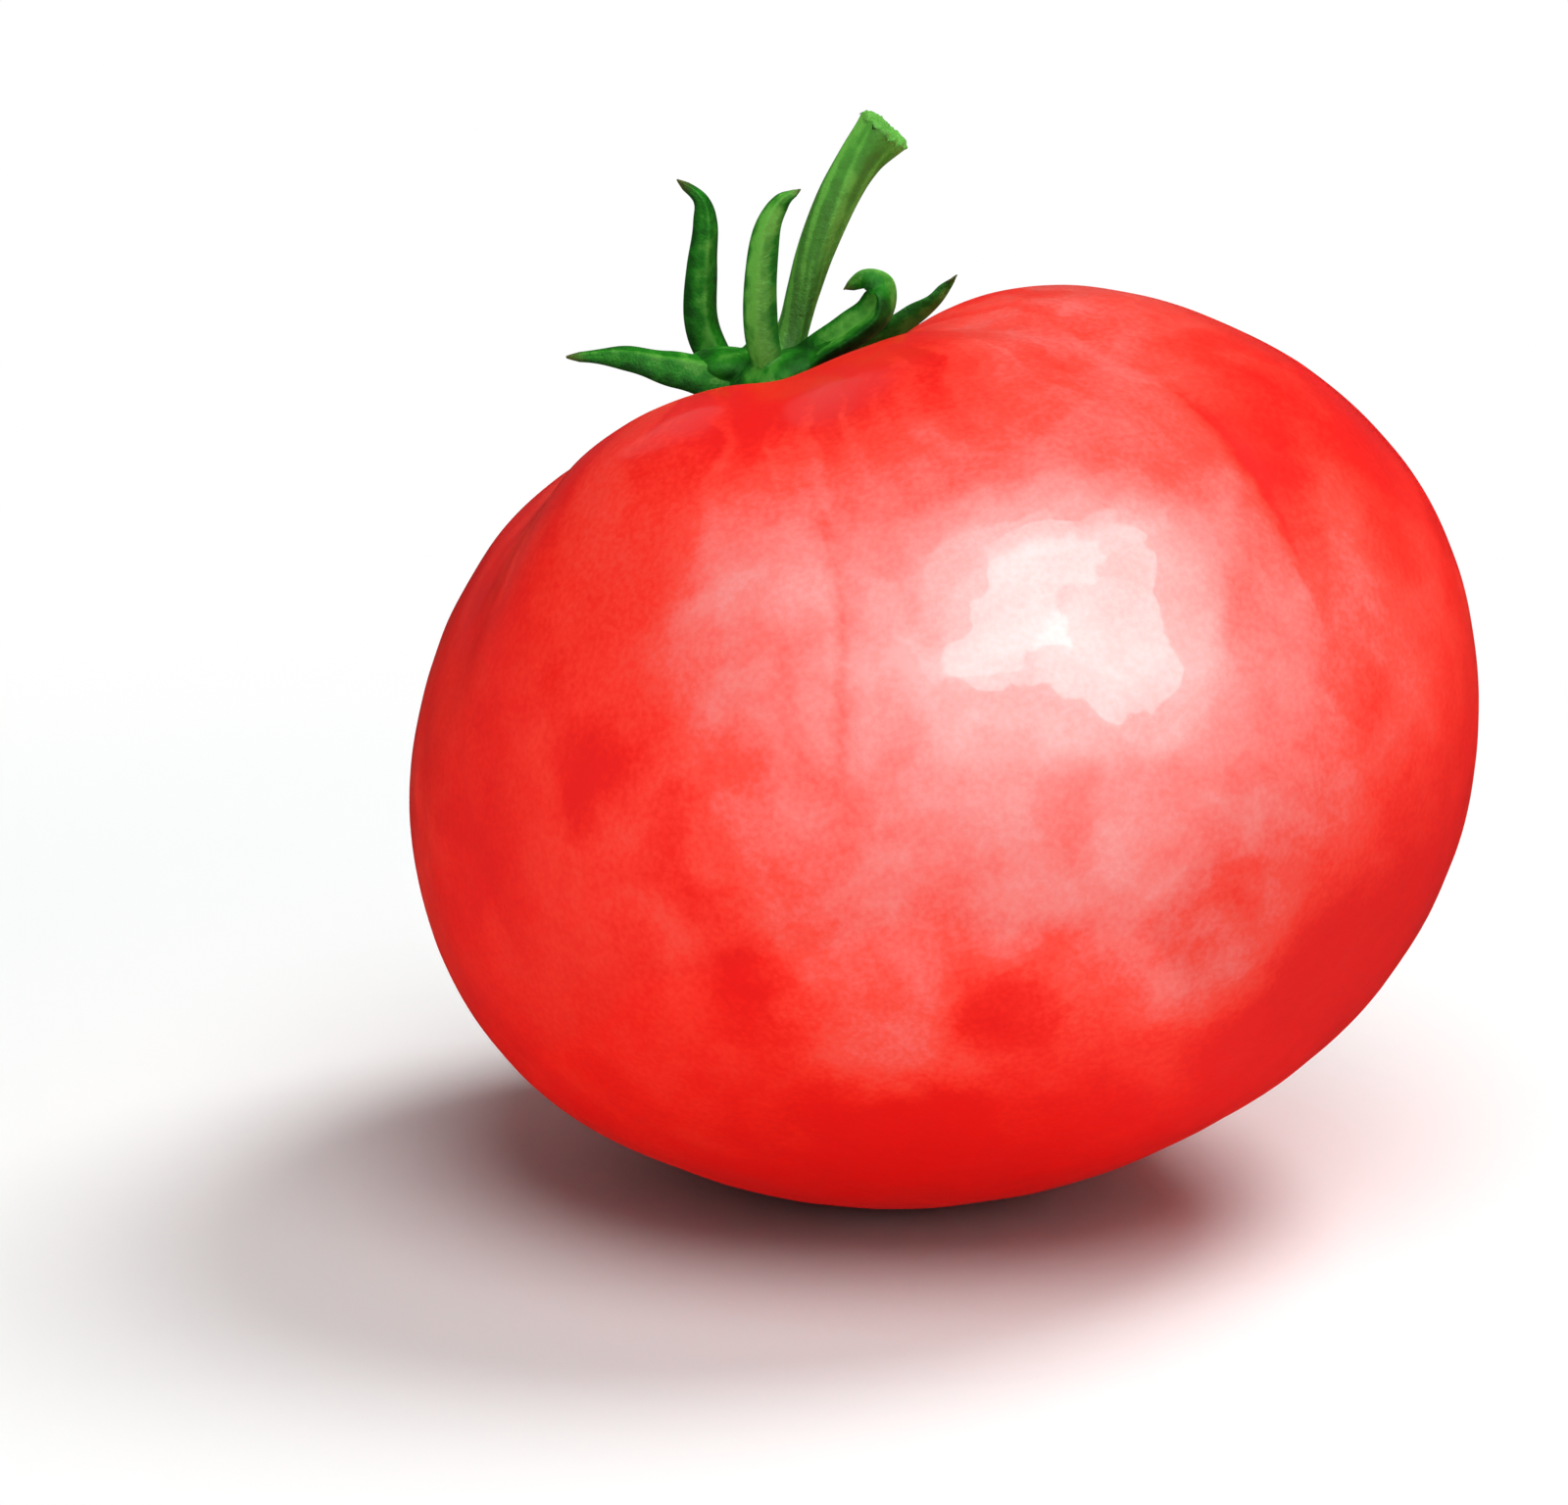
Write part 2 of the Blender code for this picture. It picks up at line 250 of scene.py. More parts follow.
# %% Fruit shape: creases, pleats, dents and the blossom end
CREASE_DEPTH = 0.16
CREASE_SHARPNESS = 1500.0
CREASE_SHARES = np.array([1.0, 0.8, 0.7, 1.0, 0.8, 0.7, 0.2])   # how marked each furrow's crease is
CREASE_BAND = (72.0, 26.0)
PLEATS = 17
PLEAT_DEPTH = 0.15
PLEAT_PLACE, PLEAT_REACH = 7.0, 4.5   # distance from the axis, and spread
DIMPLE_DEPTH, DIMPLE_RADIUS = 0.7, 2.6
NUB_HEIGHT, NUB_RADIUS = 0.75, 0.8
DENTS = [(14.0, 0.20), (5.0, 0.10), (2.6, 0.02)]   # width and height of each size of dent


def skin_relief(polar, azimuth, radius):
    """Height added to the skin by creases, pleats, dimple and nub."""
    crease = CREASE_DEPTH * furrow_pull(polar, azimuth, CREASE_SHARPNESS, CREASE_SHARES)
    crease = crease * band_weight(polar, CREASE_BAND)
    wander = 0.9 * np.sin(azimuth * 2 + 0.7) + 0.5 * np.sin(azimuth * 5)
    pleat_zone = np.exp(-((radius - PLEAT_PLACE) / PLEAT_REACH) ** 2) * (polar < np.pi / 2)
    pleat = PLEAT_DEPTH * (0.5 + 0.5 * np.cos(PLEATS * azimuth + wander)) * pleat_zone
    at_blossom = polar > np.pi / 2
    dimple = DIMPLE_DEPTH * np.exp(-(radius / DIMPLE_RADIUS) ** 2) * at_blossom
    nub = NUB_HEIGHT * np.exp(-(radius / NUB_RADIUS) ** 4) * at_blossom
    return nub - dimple - crease - pleat


def uneven(place, sizes):
    """Soft noise at a point, summed over (width, height) pairs."""
    return sum(height * noise.noise(place / width) for width, height in sizes)


print("depths of crease, pleat and dimple, mm:", CREASE_DEPTH, PLEAT_DEPTH, DIMPLE_DEPTH)

# %% [markdown]
# ## The skin mesh
# The rings run from the stem end to the blossom end, closer together at the two ends where the
# shape bends most.  Where the fruit rests, its weight presses a flat spot.  A plain cut would
# leave a sharp rim, so the height above the table is rounded off smoothly instead.  Two values
# are stored on the points for the skin's colour: furrow, near 1 in the bottom of a furrow, where
# the material paints a dark line of shade, and the lobe tone, which makes neighbouring lobes a
# little paler or darker, and the front lobe under the highlight paler as painted light.

# %% Build the skin
SKIN_RINGS = 280
SKIN_SEGMENTS = 540
POLE_CROWDING = 0.45
PRESS_SOFTNESS = 0.35                 # how gently the skin turns into the flat spot
PRESSED_IN = 1.3                      # how far below the table the fruit would reach unpressed
# The dark line in the bottom of a furrow is painted shade of the crease.
CREASE_SHADE_SHARPNESS = 3500.0               # how narrow the dark line in a furrow is
# The first tone is for the front lobe between the furrows at 263 and 315 degrees, where the highlight lies,
# and it is painted light; the rest are small differences between lobes.
LOBE_TONES_AND_LIGHT = [0.16, 0.0, 0.06, 0.03, 0.07, 0.04, 0.02]   # from each furrow to the next
TONE_EDGE, TONE_REACH = 1.2, 14.0     # degrees
TONE_BAND = (72.0, 36.0)


def skin_grid():
    along = (np.arange(1, SKIN_RINGS) / SKIN_RINGS)[:, None]
    polar = np.pi * (along - POLE_CROWDING * np.sin(2 * np.pi * along) / (2 * np.pi))
    azimuth = (2 * np.pi * np.arange(SKIN_SEGMENTS) / SKIN_SEGMENTS)[None, :]
    return np.broadcast_arrays(polar, azimuth)


def skin_points(polar, azimuth):
    radius, height = fruit_form(polar, azimuth)
    points = np.stack([radius * np.cos(azimuth), radius * np.sin(azimuth), height], -1)
    outward = points / np.linalg.norm(points, axis=-1, keepdims=True)
    dents = [uneven(Vector(p), DENTS) for p in points.reshape(-1, 3)]
    push = skin_relief(polar, azimuth, radius) + np.array(dents).reshape(polar.shape)
    return press_flat(points + outward * push[..., None])


def lobe_tone_and_light(polar, azimuth):
    """How much paler each lobe is than its neighbours, changing quickly at the furrows."""
    past = np.mod(turn_from_furrows(polar, azimuth) + np.pi, 2 * np.pi) - np.pi
    step = 0.5 + 0.5 * np.tanh(np.sin(past) / np.radians(TONE_EDGE))
    near = np.cos(past) > 0
    jump = np.array(LOBE_TONES_AND_LIGHT) - np.roll(LOBE_TONES_AND_LIGHT, 1)
    fall = np.exp(-np.abs(past) / np.radians(TONE_REACH))
    side = np.where(step > 0.5, step, step - 1) * near
    return (jump * side * fall).sum(-1) * band_weight(polar, TONE_BAND)


def press_flat(points):
    """Round the lowest skin off onto the table, in the fruit's own frame."""
    world = points @ STANCE_ROWS.T + np.array(FRUIT_CENTRE)
    height = world[..., 2]
    world[..., 2] = 0.5 * (height + np.sqrt(height ** 2 + PRESS_SOFTNESS ** 2))
    world[..., 2] -= 0.5 * (np.sqrt(PRESSED_IN ** 2 + PRESS_SOFTNESS ** 2) - PRESSED_IN)
    return (world - np.array(FRUIT_CENTRE)) @ STANCE_ROWS


polar, azimuth = skin_grid()
skin_rings = skin_points(polar, azimuth)
fruit_place = Matrix.Translation(FRUIT_CENTRE * MM) @ STANCE.to_4x4()
skin_mesh = ring_mesh("fruit_skin", skin_rings, skin_rings[0].mean(0), skin_rings[-1].mean(0),
                      {"furrow": furrow_pull(polar, azimuth, CREASE_SHADE_SHARPNESS, CREASE_SHARES)
                       * band_weight(polar, CREASE_BAND),
                       "lobe_tone_and_light": lobe_tone_and_light(polar, azimuth)})
fruit_skin = add_piece("fruit_skin", skin_mesh, "fruit", "skin", fruit_place)

# %% [markdown]
# ## Compare the skin with its solid
# The solid is coarser, but it has the same shape, so the distance between the two should stay
# well under a millimetre everywhere.  A fast search tree over the solid's faces measures it.

# %% Measure the skin against the solid
def distance_to_solid(piece, node):
    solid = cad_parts[node].data
    tree = BVHTree.FromPolygons([v.co for v in solid.vertices], [p.vertices for p in solid.polygons])
    points = [piece.matrix_world @ v.co for v in piece.data.vertices]
    found = [tree.find_nearest(p)[3] for p in points[::max(1, len(points) // 2000)]]
    return sum(found) / len(found) / MM, max(found) / MM


mean, most = distance_to_solid(fruit_skin, "fruit")
print(f"skin to solid: {mean:.2f} mm on average, {most:.2f} mm at most")

# %% [markdown]
# ## Curved lines for leaves and stem
# A sepal and a stem both follow a line in space.  A few listed points say where the line goes,
# and a Catmull-Rom curve passes smoothly through all of them, which a Bezier curve would only do
# with extra handles.  At each step a frame is kept: the direction along the line, the direction
# across the blade, and the direction up out of it.

# %% Lines and frames
CALYX_HEIGHT = 30.2                   # top of the hub, along the fruit's axis
CALYX_CENTRE = FRUIT_CENTRE + STANCE @ Vector((0, 0, CALYX_HEIGHT))


def smooth_line(points, count):
    """A Catmull-Rom curve through the points, as count places along it."""
    knots = [np.array(p, float) for p in points]
    knots = [2 * knots[0] - knots[1]] + knots + [2 * knots[-1] - knots[-2]]
    spans = len(knots) - 3
    line = []
    for i in range(count):
        place = spans * i / (count - 1)
        span = min(int(place), spans - 1)
        t = place - span
        a, b, c, d = knots[span:span + 4]
        line.append(0.5 * (2 * b + (c - a) * t + (2 * a - 5 * b + 4 * c - d) * t ** 2
                           + (3 * b - a - 3 * c + d) * t ** 3))
    return np.array(line)


def line_frames(line, across):
    """Unit vectors forward, across and up at each point of a line."""
    forward = np.gradient(line, axis=0)
    forward /= np.linalg.norm(forward, axis=1, keepdims=True)
    side = np.array(across, float) - (forward @ np.array(across, float))[:, None] * forward
    side /= np.linalg.norm(side, axis=1, keepdims=True)
    return forward, side, np.cross(forward, side)


print("calyx centre, mm:", [round(c, 1) for c in CALYX_CENTRE])

# %% [markdown]
# ## The five sepals
# A sepal is a small narrow leaf.  It is widest near its root and tapers to a fine tip.  Its edges
# are thin and turn up a little, a rounded rib runs down the middle of its back, and it dries and
# curls differently from its neighbours, so each has its own line.  Each blade is a closed tube
# with a lens-shaped section.  A flat sheet would be simpler, but it would look like paper
# from the side.  Four values are stored on the points: along, from root to tip, across, from edge
# to edge, vein, near 1 on a vein, and tone, how light the whole sepal is.  The material uses them
# for the pale rib, the dry tip, and the dark edges and pale middle, which are painted shade and a
# painted highlight.

# %% Sepal shapes
SEPALS = {           # line, width, thickness, where it is widest, direction across, tone
    "sepal_left": (
        [(-1.2, -0.1, -2.3), (-3.0, -0.3, -1.9), (-5.3, -0.5, -1.2), (-7.7, -0.6, -0.7),
         (-10.9, -0.6, -0.1), (-14.6, -0.5, -0.3)],
        3.5, 1.4, 0.30, (0.0, 0.75, 0.66), -0.20),
    "sepal_standing_left": (
        [(-0.6, 1.5, -1.9), (-2.2, 2.9, -1.7), (-4.1, 3.5, -0.6), (-5.0, 3.6, 1.8), (-4.9, 3.6, 5.4),
         (-4.7, 3.6, 8.4), (-5.1, 3.6, 10.3), (-6.8, 3.6, 11.7)],
        2.6, 1.2, 0.34, (0.94, 0.34, 0.0), -0.24),
    "sepal_standing_right": (
        [(0.0, -1.7, -1.7), (-0.5, -2.9, -0.6), (-1.0, -3.2, 2.0), (-1.0, -3.2, 5.8), (-0.5, -3.2, 9.2),
         (0.5, -3.2, 11.1), (1.9, -3.2, 12.0)],
        2.5, 1.2, 0.34, (0.96, -0.28, 0.0), 0.24),
    "sepal_hooked": (
        [(1.6, -1.5, -1.4), (3.6, -2.6, 0.3), (5.7, -2.9, 1.7), (7.4, -2.9, 3.2), (7.6, -2.9, 5.1),
         (6.3, -2.9, 5.8), (4.9, -2.9, 4.9)],
        2.9, 2.1, 0.40, (-0.35, 0.85, 0.40), -0.04),
    "sepal_right": (
        [(1.9, 0.9, -1.6), (4.3, 1.9, -0.7), (8.3, 2.3, 1.0), (11.2, 2.3, 3.0), (13.0, 2.3, 5.1)],
        3.0, 1.3, 0.40, (0.0, 0.86, -0.50), 0.05),
}
SEPAL_RINGS = 140
SEPAL_SIDES = 44
ROOT_SHARE = 0.85                     # width at the root, as a share of the greatest width
TIP_SHARE = 0.13
TIP_ROUNDING = 0.05                   # the last share of the length, where the tip rounds off
EDGE_LIFT = 0.45                      # how far the edges turn up, as a share of the thickness
RIB_HEIGHT = 0.30
RIB_WIDTH = 0.22
EDGE_WAVE = 0.10
VEIN_COUNT, VEIN_SLANT, VEIN_WIDTH = 11, 0.9, 0.16


def blade_share(along, widest):
    """Blade width along the sepal, as a share of its greatest width."""
    rise = ROOT_SHARE + (1 - ROOT_SHARE) * np.sin(np.pi / 2 * np.minimum(1, along / widest))
    fall = np.clip((along - widest) / (1 - widest), 0, 1)
    taper = TIP_SHARE + (1 - TIP_SHARE) * np.cos(np.pi / 2 * fall) ** 0.9
    round_tip = np.sqrt(np.clip((1 - along) / TIP_ROUNDING, 0.02, 1))
    return np.where(along < widest, rise, taper * round_tip)


def sepal_rings(spec, seed):
    """Rings of one sepal, the values stored on them, and its middle line."""
    points, width, thickness, widest, across, tone = spec
    line = smooth_line(points, SEPAL_RINGS)
    _, side, up = line_frames(line, across)
    along = np.linspace(0, 1, SEPAL_RINGS)[:, None]
    turn = (2 * np.pi * np.arange(SEPAL_SIDES) / SEPAL_SIDES)[None, :]
    place = np.cos(turn)
    share = blade_share(along, widest)
    wave = EDGE_WAVE * np.sin(9 * along * np.pi + seed + 2 * np.sign(place)) * place ** 2 * along
    rib = RIB_HEIGHT * np.exp(-(place / RIB_WIDTH) ** 2) * np.where(np.sin(turn) < 0, -1, -0.6)
    rise = thickness / 2 * share * (np.sin(turn) * 0.8 + EDGE_LIFT * 2 * place ** 2 + rib) + wave
    reach = width / 2 * share * place
    rings = line[:, None] + side[:, None] * reach[..., None] + up[:, None] * rise[..., None]
    side_veins = np.cos(2 * np.pi * (VEIN_COUNT * along - VEIN_SLANT * np.abs(place)))
    vein = np.maximum(np.exp(-(place / VEIN_WIDTH) ** 2), 0.45 * np.maximum(0, side_veins) ** 8)
    values = {"along": np.broadcast_to(along, reach.shape), "across": np.broadcast_to(place, reach.shape),
              "vein": vein * np.ones_like(reach), "tone": np.full_like(reach, tone)}
    return rings, values, line


calyx_place = Matrix.Translation(CALYX_CENTRE * MM)
sepals = []
for seed, (name, spec) in enumerate(SEPALS.items()):
    rings, values, line = sepal_rings(spec, seed)
    blade = ring_mesh(name + "_blade", rings, rings[0].mean(0), rings[-1].mean(0), values)
    sepals.append(add_piece(name + "_blade", blade, name, "calyx_green", calyx_place))

# %% [markdown]
# ## The hub
# The sepals and the stem grow out of one small green hub, and the corners between them are
# webbed with soft tissue.  Modelling such a junction face by face is slow.  It is quicker to let
# simple closed shapes overlap, turn their union into one skin with a voxel Remesh modifier, and
# smooth that skin, which rounds every inner corner.

# %% Hub
HUB_RADIUS = 4.2
HUB_FOOT_RADIUS = 2.8
HUB_DOME_RISE = 2.2
HUB_LIFT = 0.35                       # clear of the skin in the basin
COLLAR_LENGTH = 0.30                  # share of a sepal that its collar covers
COLLAR_GROWTH, COLLAR_END = 1.16, 0.88   # its thickness at the root and at its end
VOXEL = 0.16
HUB_SMOOTHING = 6
WEBS = [                              # flesh between neighbouring roots: middle and radii
    ((-3.4, 1.2, -1.2), (2.9, 2.6, 1.3)),
    ((-0.4, 2.6, -0.9), (2.0, 1.6, 1.6)),
    ((1.0, -1.6, -1.1), (2.2, 1.7, 1.3)),
    ((2.6, 0.0, -0.7), (2.6, 2.2, 1.3)),
]


def basin_floor(radius):
    polar = (radius / EQUATOR_RADIUS) ** (1 / STEM_POWER)
    return float(fruit_form(np.array(polar), np.array(0.0))[1])


def turned(profile, sides=48):
    """Rings, in the calyx's frame, of a profile turned about the fruit's axis."""
    turn = 2 * np.pi * np.arange(sides) / sides
    local = np.array([[(r * np.cos(a), r * np.sin(a), h - CALYX_HEIGHT) for a in turn] for r, h in profile])
    return local @ STANCE_ROWS.T


def ball(middle, radii, rings=20, sides=28):
    """A closed ball with three different radii."""
    polar = np.pi * np.arange(1, rings) / rings
    turn = 2 * np.pi * np.arange(sides) / sides
    grid = [[(np.sin(p) * np.cos(a), np.sin(p) * np.sin(a), np.cos(p)) for a in turn] for p in polar]
    grid = np.array(grid) * radii + middle
    return ring_mesh("ball", grid, grid[0].mean(0), grid[-1].mean(0))


def hub_profile():
    foot = basin_floor(HUB_FOOT_RADIUS) + HUB_LIFT
    waist = CALYX_HEIGHT - HUB_DOME_RISE
    arc = [math.radians(a) for a in range(0, 90, 9)]
    dome = [(HUB_RADIUS * math.cos(a), waist + HUB_DOME_RISE * math.sin(a)) for a in arc]
    return [(HUB_FOOT_RADIUS * 0.5, foot), (HUB_FOOT_RADIUS, foot)] + dome


def union_mesh(name, parts):
    """One skin round several overlapping closed meshes, with rounded inner corners."""
    joined = bmesh.new()
    for part in parts:
        joined.from_mesh(part)
    rough = bpy.data.meshes.new(name + "_rough")
    joined.to_mesh(rough)
    joined.free()
    helper = bpy.data.objects.new(name + "_helper", rough)
    bpy.context.scene.collection.objects.link(helper)
    remesh = helper.modifiers.new("one_skin", "REMESH")
    remesh.mode = "VOXEL"
    remesh.voxel_size = VOXEL * MM
    smooth = helper.modifiers.new("round_corners", "SMOOTH")
    smooth.factor = 0.5
    smooth.iterations = HUB_SMOOTHING
    bpy.context.view_layer.update()
    made = bpy.data.meshes.new_from_object(helper.evaluated_get(bpy.context.evaluated_depsgraph_get()))
    made.name = name
    bpy.data.objects.remove(helper)
    made.shade_smooth()
    return made


print("hub profile, mm:", [(round(r, 1), round(h, 1)) for r, h in hub_profile()][:3], "...")

# %% [markdown]
# ### Join the hub
# The parts are a low dome on a foot, a collar round the root of each sepal and four balls
# of flesh in the corners.  The collars follow the sepals' own lines, so they always fit.

# %% Join the hub
dome_rings = turned(hub_profile())
hub_parts = [ring_mesh("dome", dome_rings, dome_rings[0].mean(0), dome_rings[-1].mean(0))]
for seed, spec in enumerate(SEPALS.values()):
    rings, _, line = sepal_rings(spec, seed)
    count = int(SEPAL_RINGS * COLLAR_LENGTH)
    fade = np.linspace(1, 0, count)[:, None, None]
    growth = COLLAR_GROWTH * fade + COLLAR_END * (1 - fade)
    collar = line[:count, None] + (rings[:count] - line[:count, None]) * growth
    hub_parts.append(ring_mesh("collar", collar, collar[0].mean(0), collar[-1].mean(0)))
for middle, radii in WEBS:
    hub_parts.append(ball(middle, radii))
hub_mesh = union_mesh("calyx_crown", hub_parts)
calyx_crown = add_piece("calyx_crown", hub_mesh, "calyx_hub", "calyx_green", calyx_place)

# %% [markdown]
# ## The stem
# The stem is a short length of stalk, swollen where it joins the hub, narrow just above, and
# thicker again towards the cut.  It has five soft ridges that twist a little.  Where it was
# snapped off it flares, and its end is a ragged ring of fibres round a sunken pith.

# %% Stem
STEM_LINE = [(0.3, 0.0, -0.8), (1.3, 0.0, 1.4), (2.1, 0.0, 4.4), (3.0, 0.0, 7.4), (4.5, 0.0, 11.0),
             (6.1, 0.0, 13.7), (7.7, 0.0, 15.6)]
STEM_RINGS = 150
STEM_SIDES = 56
FOOT_RADIUS, NECK_RADIUS, MIDDLE_RADIUS, CUT_RADIUS = 1.75, 0.98, 1.45, 1.95
FOOT_REACH, SWELL_END, FLARE_START = 0.12, 0.75, 0.72
RIDGES, RIDGE_SHARE, RIDGE_TWIST = 5, 0.045, 0.6
CUT_RINGS = 16
CUT_FADE = 0.90                       # where the stem starts to pale towards its cut
CUT_DOME, PITH_DEPTH = 0.60, 0.35
FIBRE_FINENESS, FIBRE_TWIST, FIBRE_CHANGE, FIBRE_END = 3, 2, 2.5, 1.1
PITH_REACH = 0.35                     # as a share of the cut's radius
RAGGED, RAGGED_PER_MM = 0.45, 3.1     # how far fibres stand out of the cut, and how close


def stem_radius(along):
    """Radius of the stem: a swollen foot, a narrow neck and a flare at the cut."""
    foot = (FOOT_RADIUS - NECK_RADIUS) * np.exp(-(along / FOOT_REACH) ** 2)
    swell = (MIDDLE_RADIUS - NECK_RADIUS) * np.sin(np.pi / 2 * np.minimum(1, along / SWELL_END)) ** 2
    opening = np.clip((along - FLARE_START) / (1 - FLARE_START), 0, 1)
    return NECK_RADIUS + foot + swell + (CUT_RADIUS - MIDDLE_RADIUS) * opening ** 2


def fibre(angle, along):
    """Noise that changes quickly round the stem and slowly up it."""
    turned_on = angle + FIBRE_TWIST * along
    return noise.noise(Vector((FIBRE_FINENESS * math.cos(turned_on), FIBRE_FINENESS * math.sin(turned_on),
                               FIBRE_CHANGE * along)))


def stem_rings():
    """Rings up the stem and inwards over its cut face, and the values stored on them."""
    line = smooth_line(STEM_LINE, STEM_RINGS)
    forward, side, up = line_frames(line, (0, 1, 0))
    along = np.linspace(0, 1, STEM_RINGS)[:, None]
    turn = (2 * np.pi * np.arange(STEM_SIDES) / STEM_SIDES)[None, :]
    ridge = 1 + RIDGE_SHARE * np.cos(RIDGES * turn + RIDGE_TWIST * 2 * np.pi * along)
    radius = stem_radius(along) * ridge
    ring = side[:, None] * np.cos(turn)[..., None] + up[:, None] * np.sin(turn)[..., None]
    walls = line[:, None] + ring * radius[..., None]
    inward = np.linspace(1.04, 0.05, CUT_RINGS)
    cut = []
    for share in inward:
        flat = line[-1] + (walls[-1] - line[-1]) * share
        ragged = [RAGGED * noise.noise(Vector(p) * RAGGED_PER_MM) * share for p in flat]
        dome = CUT_DOME * math.sqrt(max(0.0, 1.08 - share ** 2))
        dome -= PITH_DEPTH * math.exp(-(share / PITH_REACH) ** 2)
        cut.append(flat + forward[-1] * (np.array(ragged) + dome)[:, None])
    rings = np.concatenate([walls, np.array(cut)])
    along_all = np.concatenate([np.broadcast_to(along, radius.shape), np.ones((CUT_RINGS, STEM_SIDES))])
    lip = np.clip((along - CUT_FADE) / (1 - CUT_FADE), 0, 1) ** 2 * np.ones_like(radius)
    face = np.concatenate([0.6 * lip, np.full((CUT_RINGS, STEM_SIDES), 1.0)])
    fibres = np.array([[fibre(a, t) for a in turn[0]] for t in np.linspace(0, FIBRE_END, len(rings))])
    return rings, {"along": along_all, "cut_face": face, "fibre": fibres}


rings, values = stem_rings()
stem_mesh = ring_mesh("stem_stalk", rings, rings[0].mean(0), rings[-1].mean(0), values)
stem_stalk = add_piece("stem_stalk", stem_mesh, "stem", "stem_green", calyx_place)

# %% [markdown]
# ## Small helpers for shader nodes
# Every material is a tree of nodes joined by links.  These helpers add a node, join two sockets,
# set a value on the shader and start a new material, so that the cells below read like recipes.

# %% Shader helpers
def link(tree, source, target):
    tree.links.new(source, target)


def add_node(tree, kind, place, **settings):
    node = tree.nodes.new(kind)
    node.location = place
    for key, value in settings.items():
        setattr(node, key, value)
    return node


def set_input(shader, name, value):
    shader.inputs[name].default_value = value


def new_material(name):
    material = bpy.data.materials.new(name)
    material.use_nodes = True
    tree = material.node_tree
    return material, tree, tree.nodes["Principled BSDF"]


print("shader helpers:", [f.__name__ for f in (link, add_node, set_input, new_material)])

# %% [markdown]
# ## The floor
# The fruit lies on a plain white floor, which turns into an evenly bright surround further out,
# so no horizon shows.  Its white is a little cool, which balances the red light that the fruit
# throws on it.  In the fruit's shine the floor is almost black: a white floor would be mirrored
# in the lower half of the skin and wash out its red.

# %% Floor
FLOOR_RADIUS = 6.0
FLOOR_WHITE = (0.900, 0.925, 0.920, 1)
FLOOR_NEAR, FLOOR_FAR = 0.075, 0.20   # where the floor starts and ends turning into plain white
FADE_SHIFT = (0.018, 0.016, 0.0)      # centres that change on the fruit and its shadow together
REFLECTED_FLOOR = 0.015               # how bright the floor is in the fruit's shine

floor_shape = bmesh.new()
bmesh.ops.create_circle(floor_shape, cap_ends=True, segments=96, radius=FLOOR_RADIUS)
floor_mesh = bpy.data.meshes.new("floor")
floor_shape.to_mesh(floor_mesh)
floor_shape.free()
floor = bpy.data.objects.new("floor", floor_mesh)
bpy.context.scene.collection.objects.link(floor)
floor_material, tree, shader = new_material("floor_white")
set_input(shader, "Base Color", FLOOR_WHITE)
set_input(shader, "Roughness", 0.9)
set_input(shader, "Specular IOR Level", 0.1)
where = add_node(tree, "ShaderNodeTexCoord", (-900, 0))
distance = add_node(tree, "ShaderNodeVectorMath", (-700, 0), operation="LENGTH")
fade = add_node(tree, "ShaderNodeMapRange", (-500, 0), interpolation_type="SMOOTHSTEP")
fade.inputs["From Min"].default_value = FLOOR_NEAR
fade.inputs["From Max"].default_value = FLOOR_FAR
glow = add_node(tree, "ShaderNodeEmission", (-300, -300))
dim = add_node(tree, "ShaderNodeEmission", (-300, -450))
dim.inputs["Strength"].default_value = REFLECTED_FLOOR
rays = add_node(tree, "ShaderNodeLightPath", (-300, 300))
far = add_node(tree, "ShaderNodeMixShader", (350, 0))
seen = add_node(tree, "ShaderNodeMixShader", (550, 0))
off_middle = add_node(tree, "ShaderNodeVectorMath", (-800, 200), operation="ADD")
off_middle.inputs[1].default_value = FADE_SHIFT
link(tree, where.outputs["Object"], off_middle.inputs[0])
link(tree, off_middle.outputs["Vector"], distance.inputs[0])
link(tree, distance.outputs["Value"], fade.inputs["Value"])
link(tree, fade.outputs["Result"], far.inputs["Fac"])
link(tree, shader.outputs["BSDF"], far.inputs[1])
link(tree, glow.outputs["Emission"], far.inputs[2])
link(tree, rays.outputs["Is Glossy Ray"], seen.inputs["Fac"])
link(tree, far.outputs["Shader"], seen.inputs[1])
link(tree, dim.outputs["Emission"], seen.inputs[2])
link(tree, seen.outputs["Shader"], tree.nodes["Material Output"].inputs["Surface"])
floor_mesh.materials.append(floor_material)
print("floor radius, m:", FLOOR_RADIUS)

# %% [markdown]
# ## Lamps and panels
# One lamp stands behind and to the right, and throws the soft shadow forwards and to the left.
# A weaker one in front shapes the near side.  Three fill lamps lift the darker sides.  The pale
# glow on the right cheek is partly the mirror image of four round panels, one inside another, and
# partly painted into the skin's colour.  The panels are seen only in reflections: if they also lit
# the fruit, its red would be washed out.

# %% Lamps and panels
FRUIT_MIDDLE = FRUIT_CENTRE * MM
LAMPS = {                             # side, rise, distance, reach and radiance, as below
    "lamp_behind": (118, 57, 1.3, 13, 12.5),
    "lamp_front": (12, 62, 1.1, 22, 3.7),
}
PANELS = {
    "panel_core": (36, 34, 0.75, 15, 2.6),
    "panel_inner": (32, 38, 0.80, 31, 3.4),
    "panel_middle": (28, 42, 0.85, 38, 3.2),
    "panel_outer": (24, 46, 0.90, 45, 2.0),
    "panel_behind": (205, 38, 1.0, 12, 0.5),
}
FILLS = {
    "fill_left": (-60, 5, 1.0, 32, 1.25),
    "fill_low": (0, -50, 0.9, 36, 2.2),
    "fill_right": (65, -15, 0.9, 34, 1.15),
}


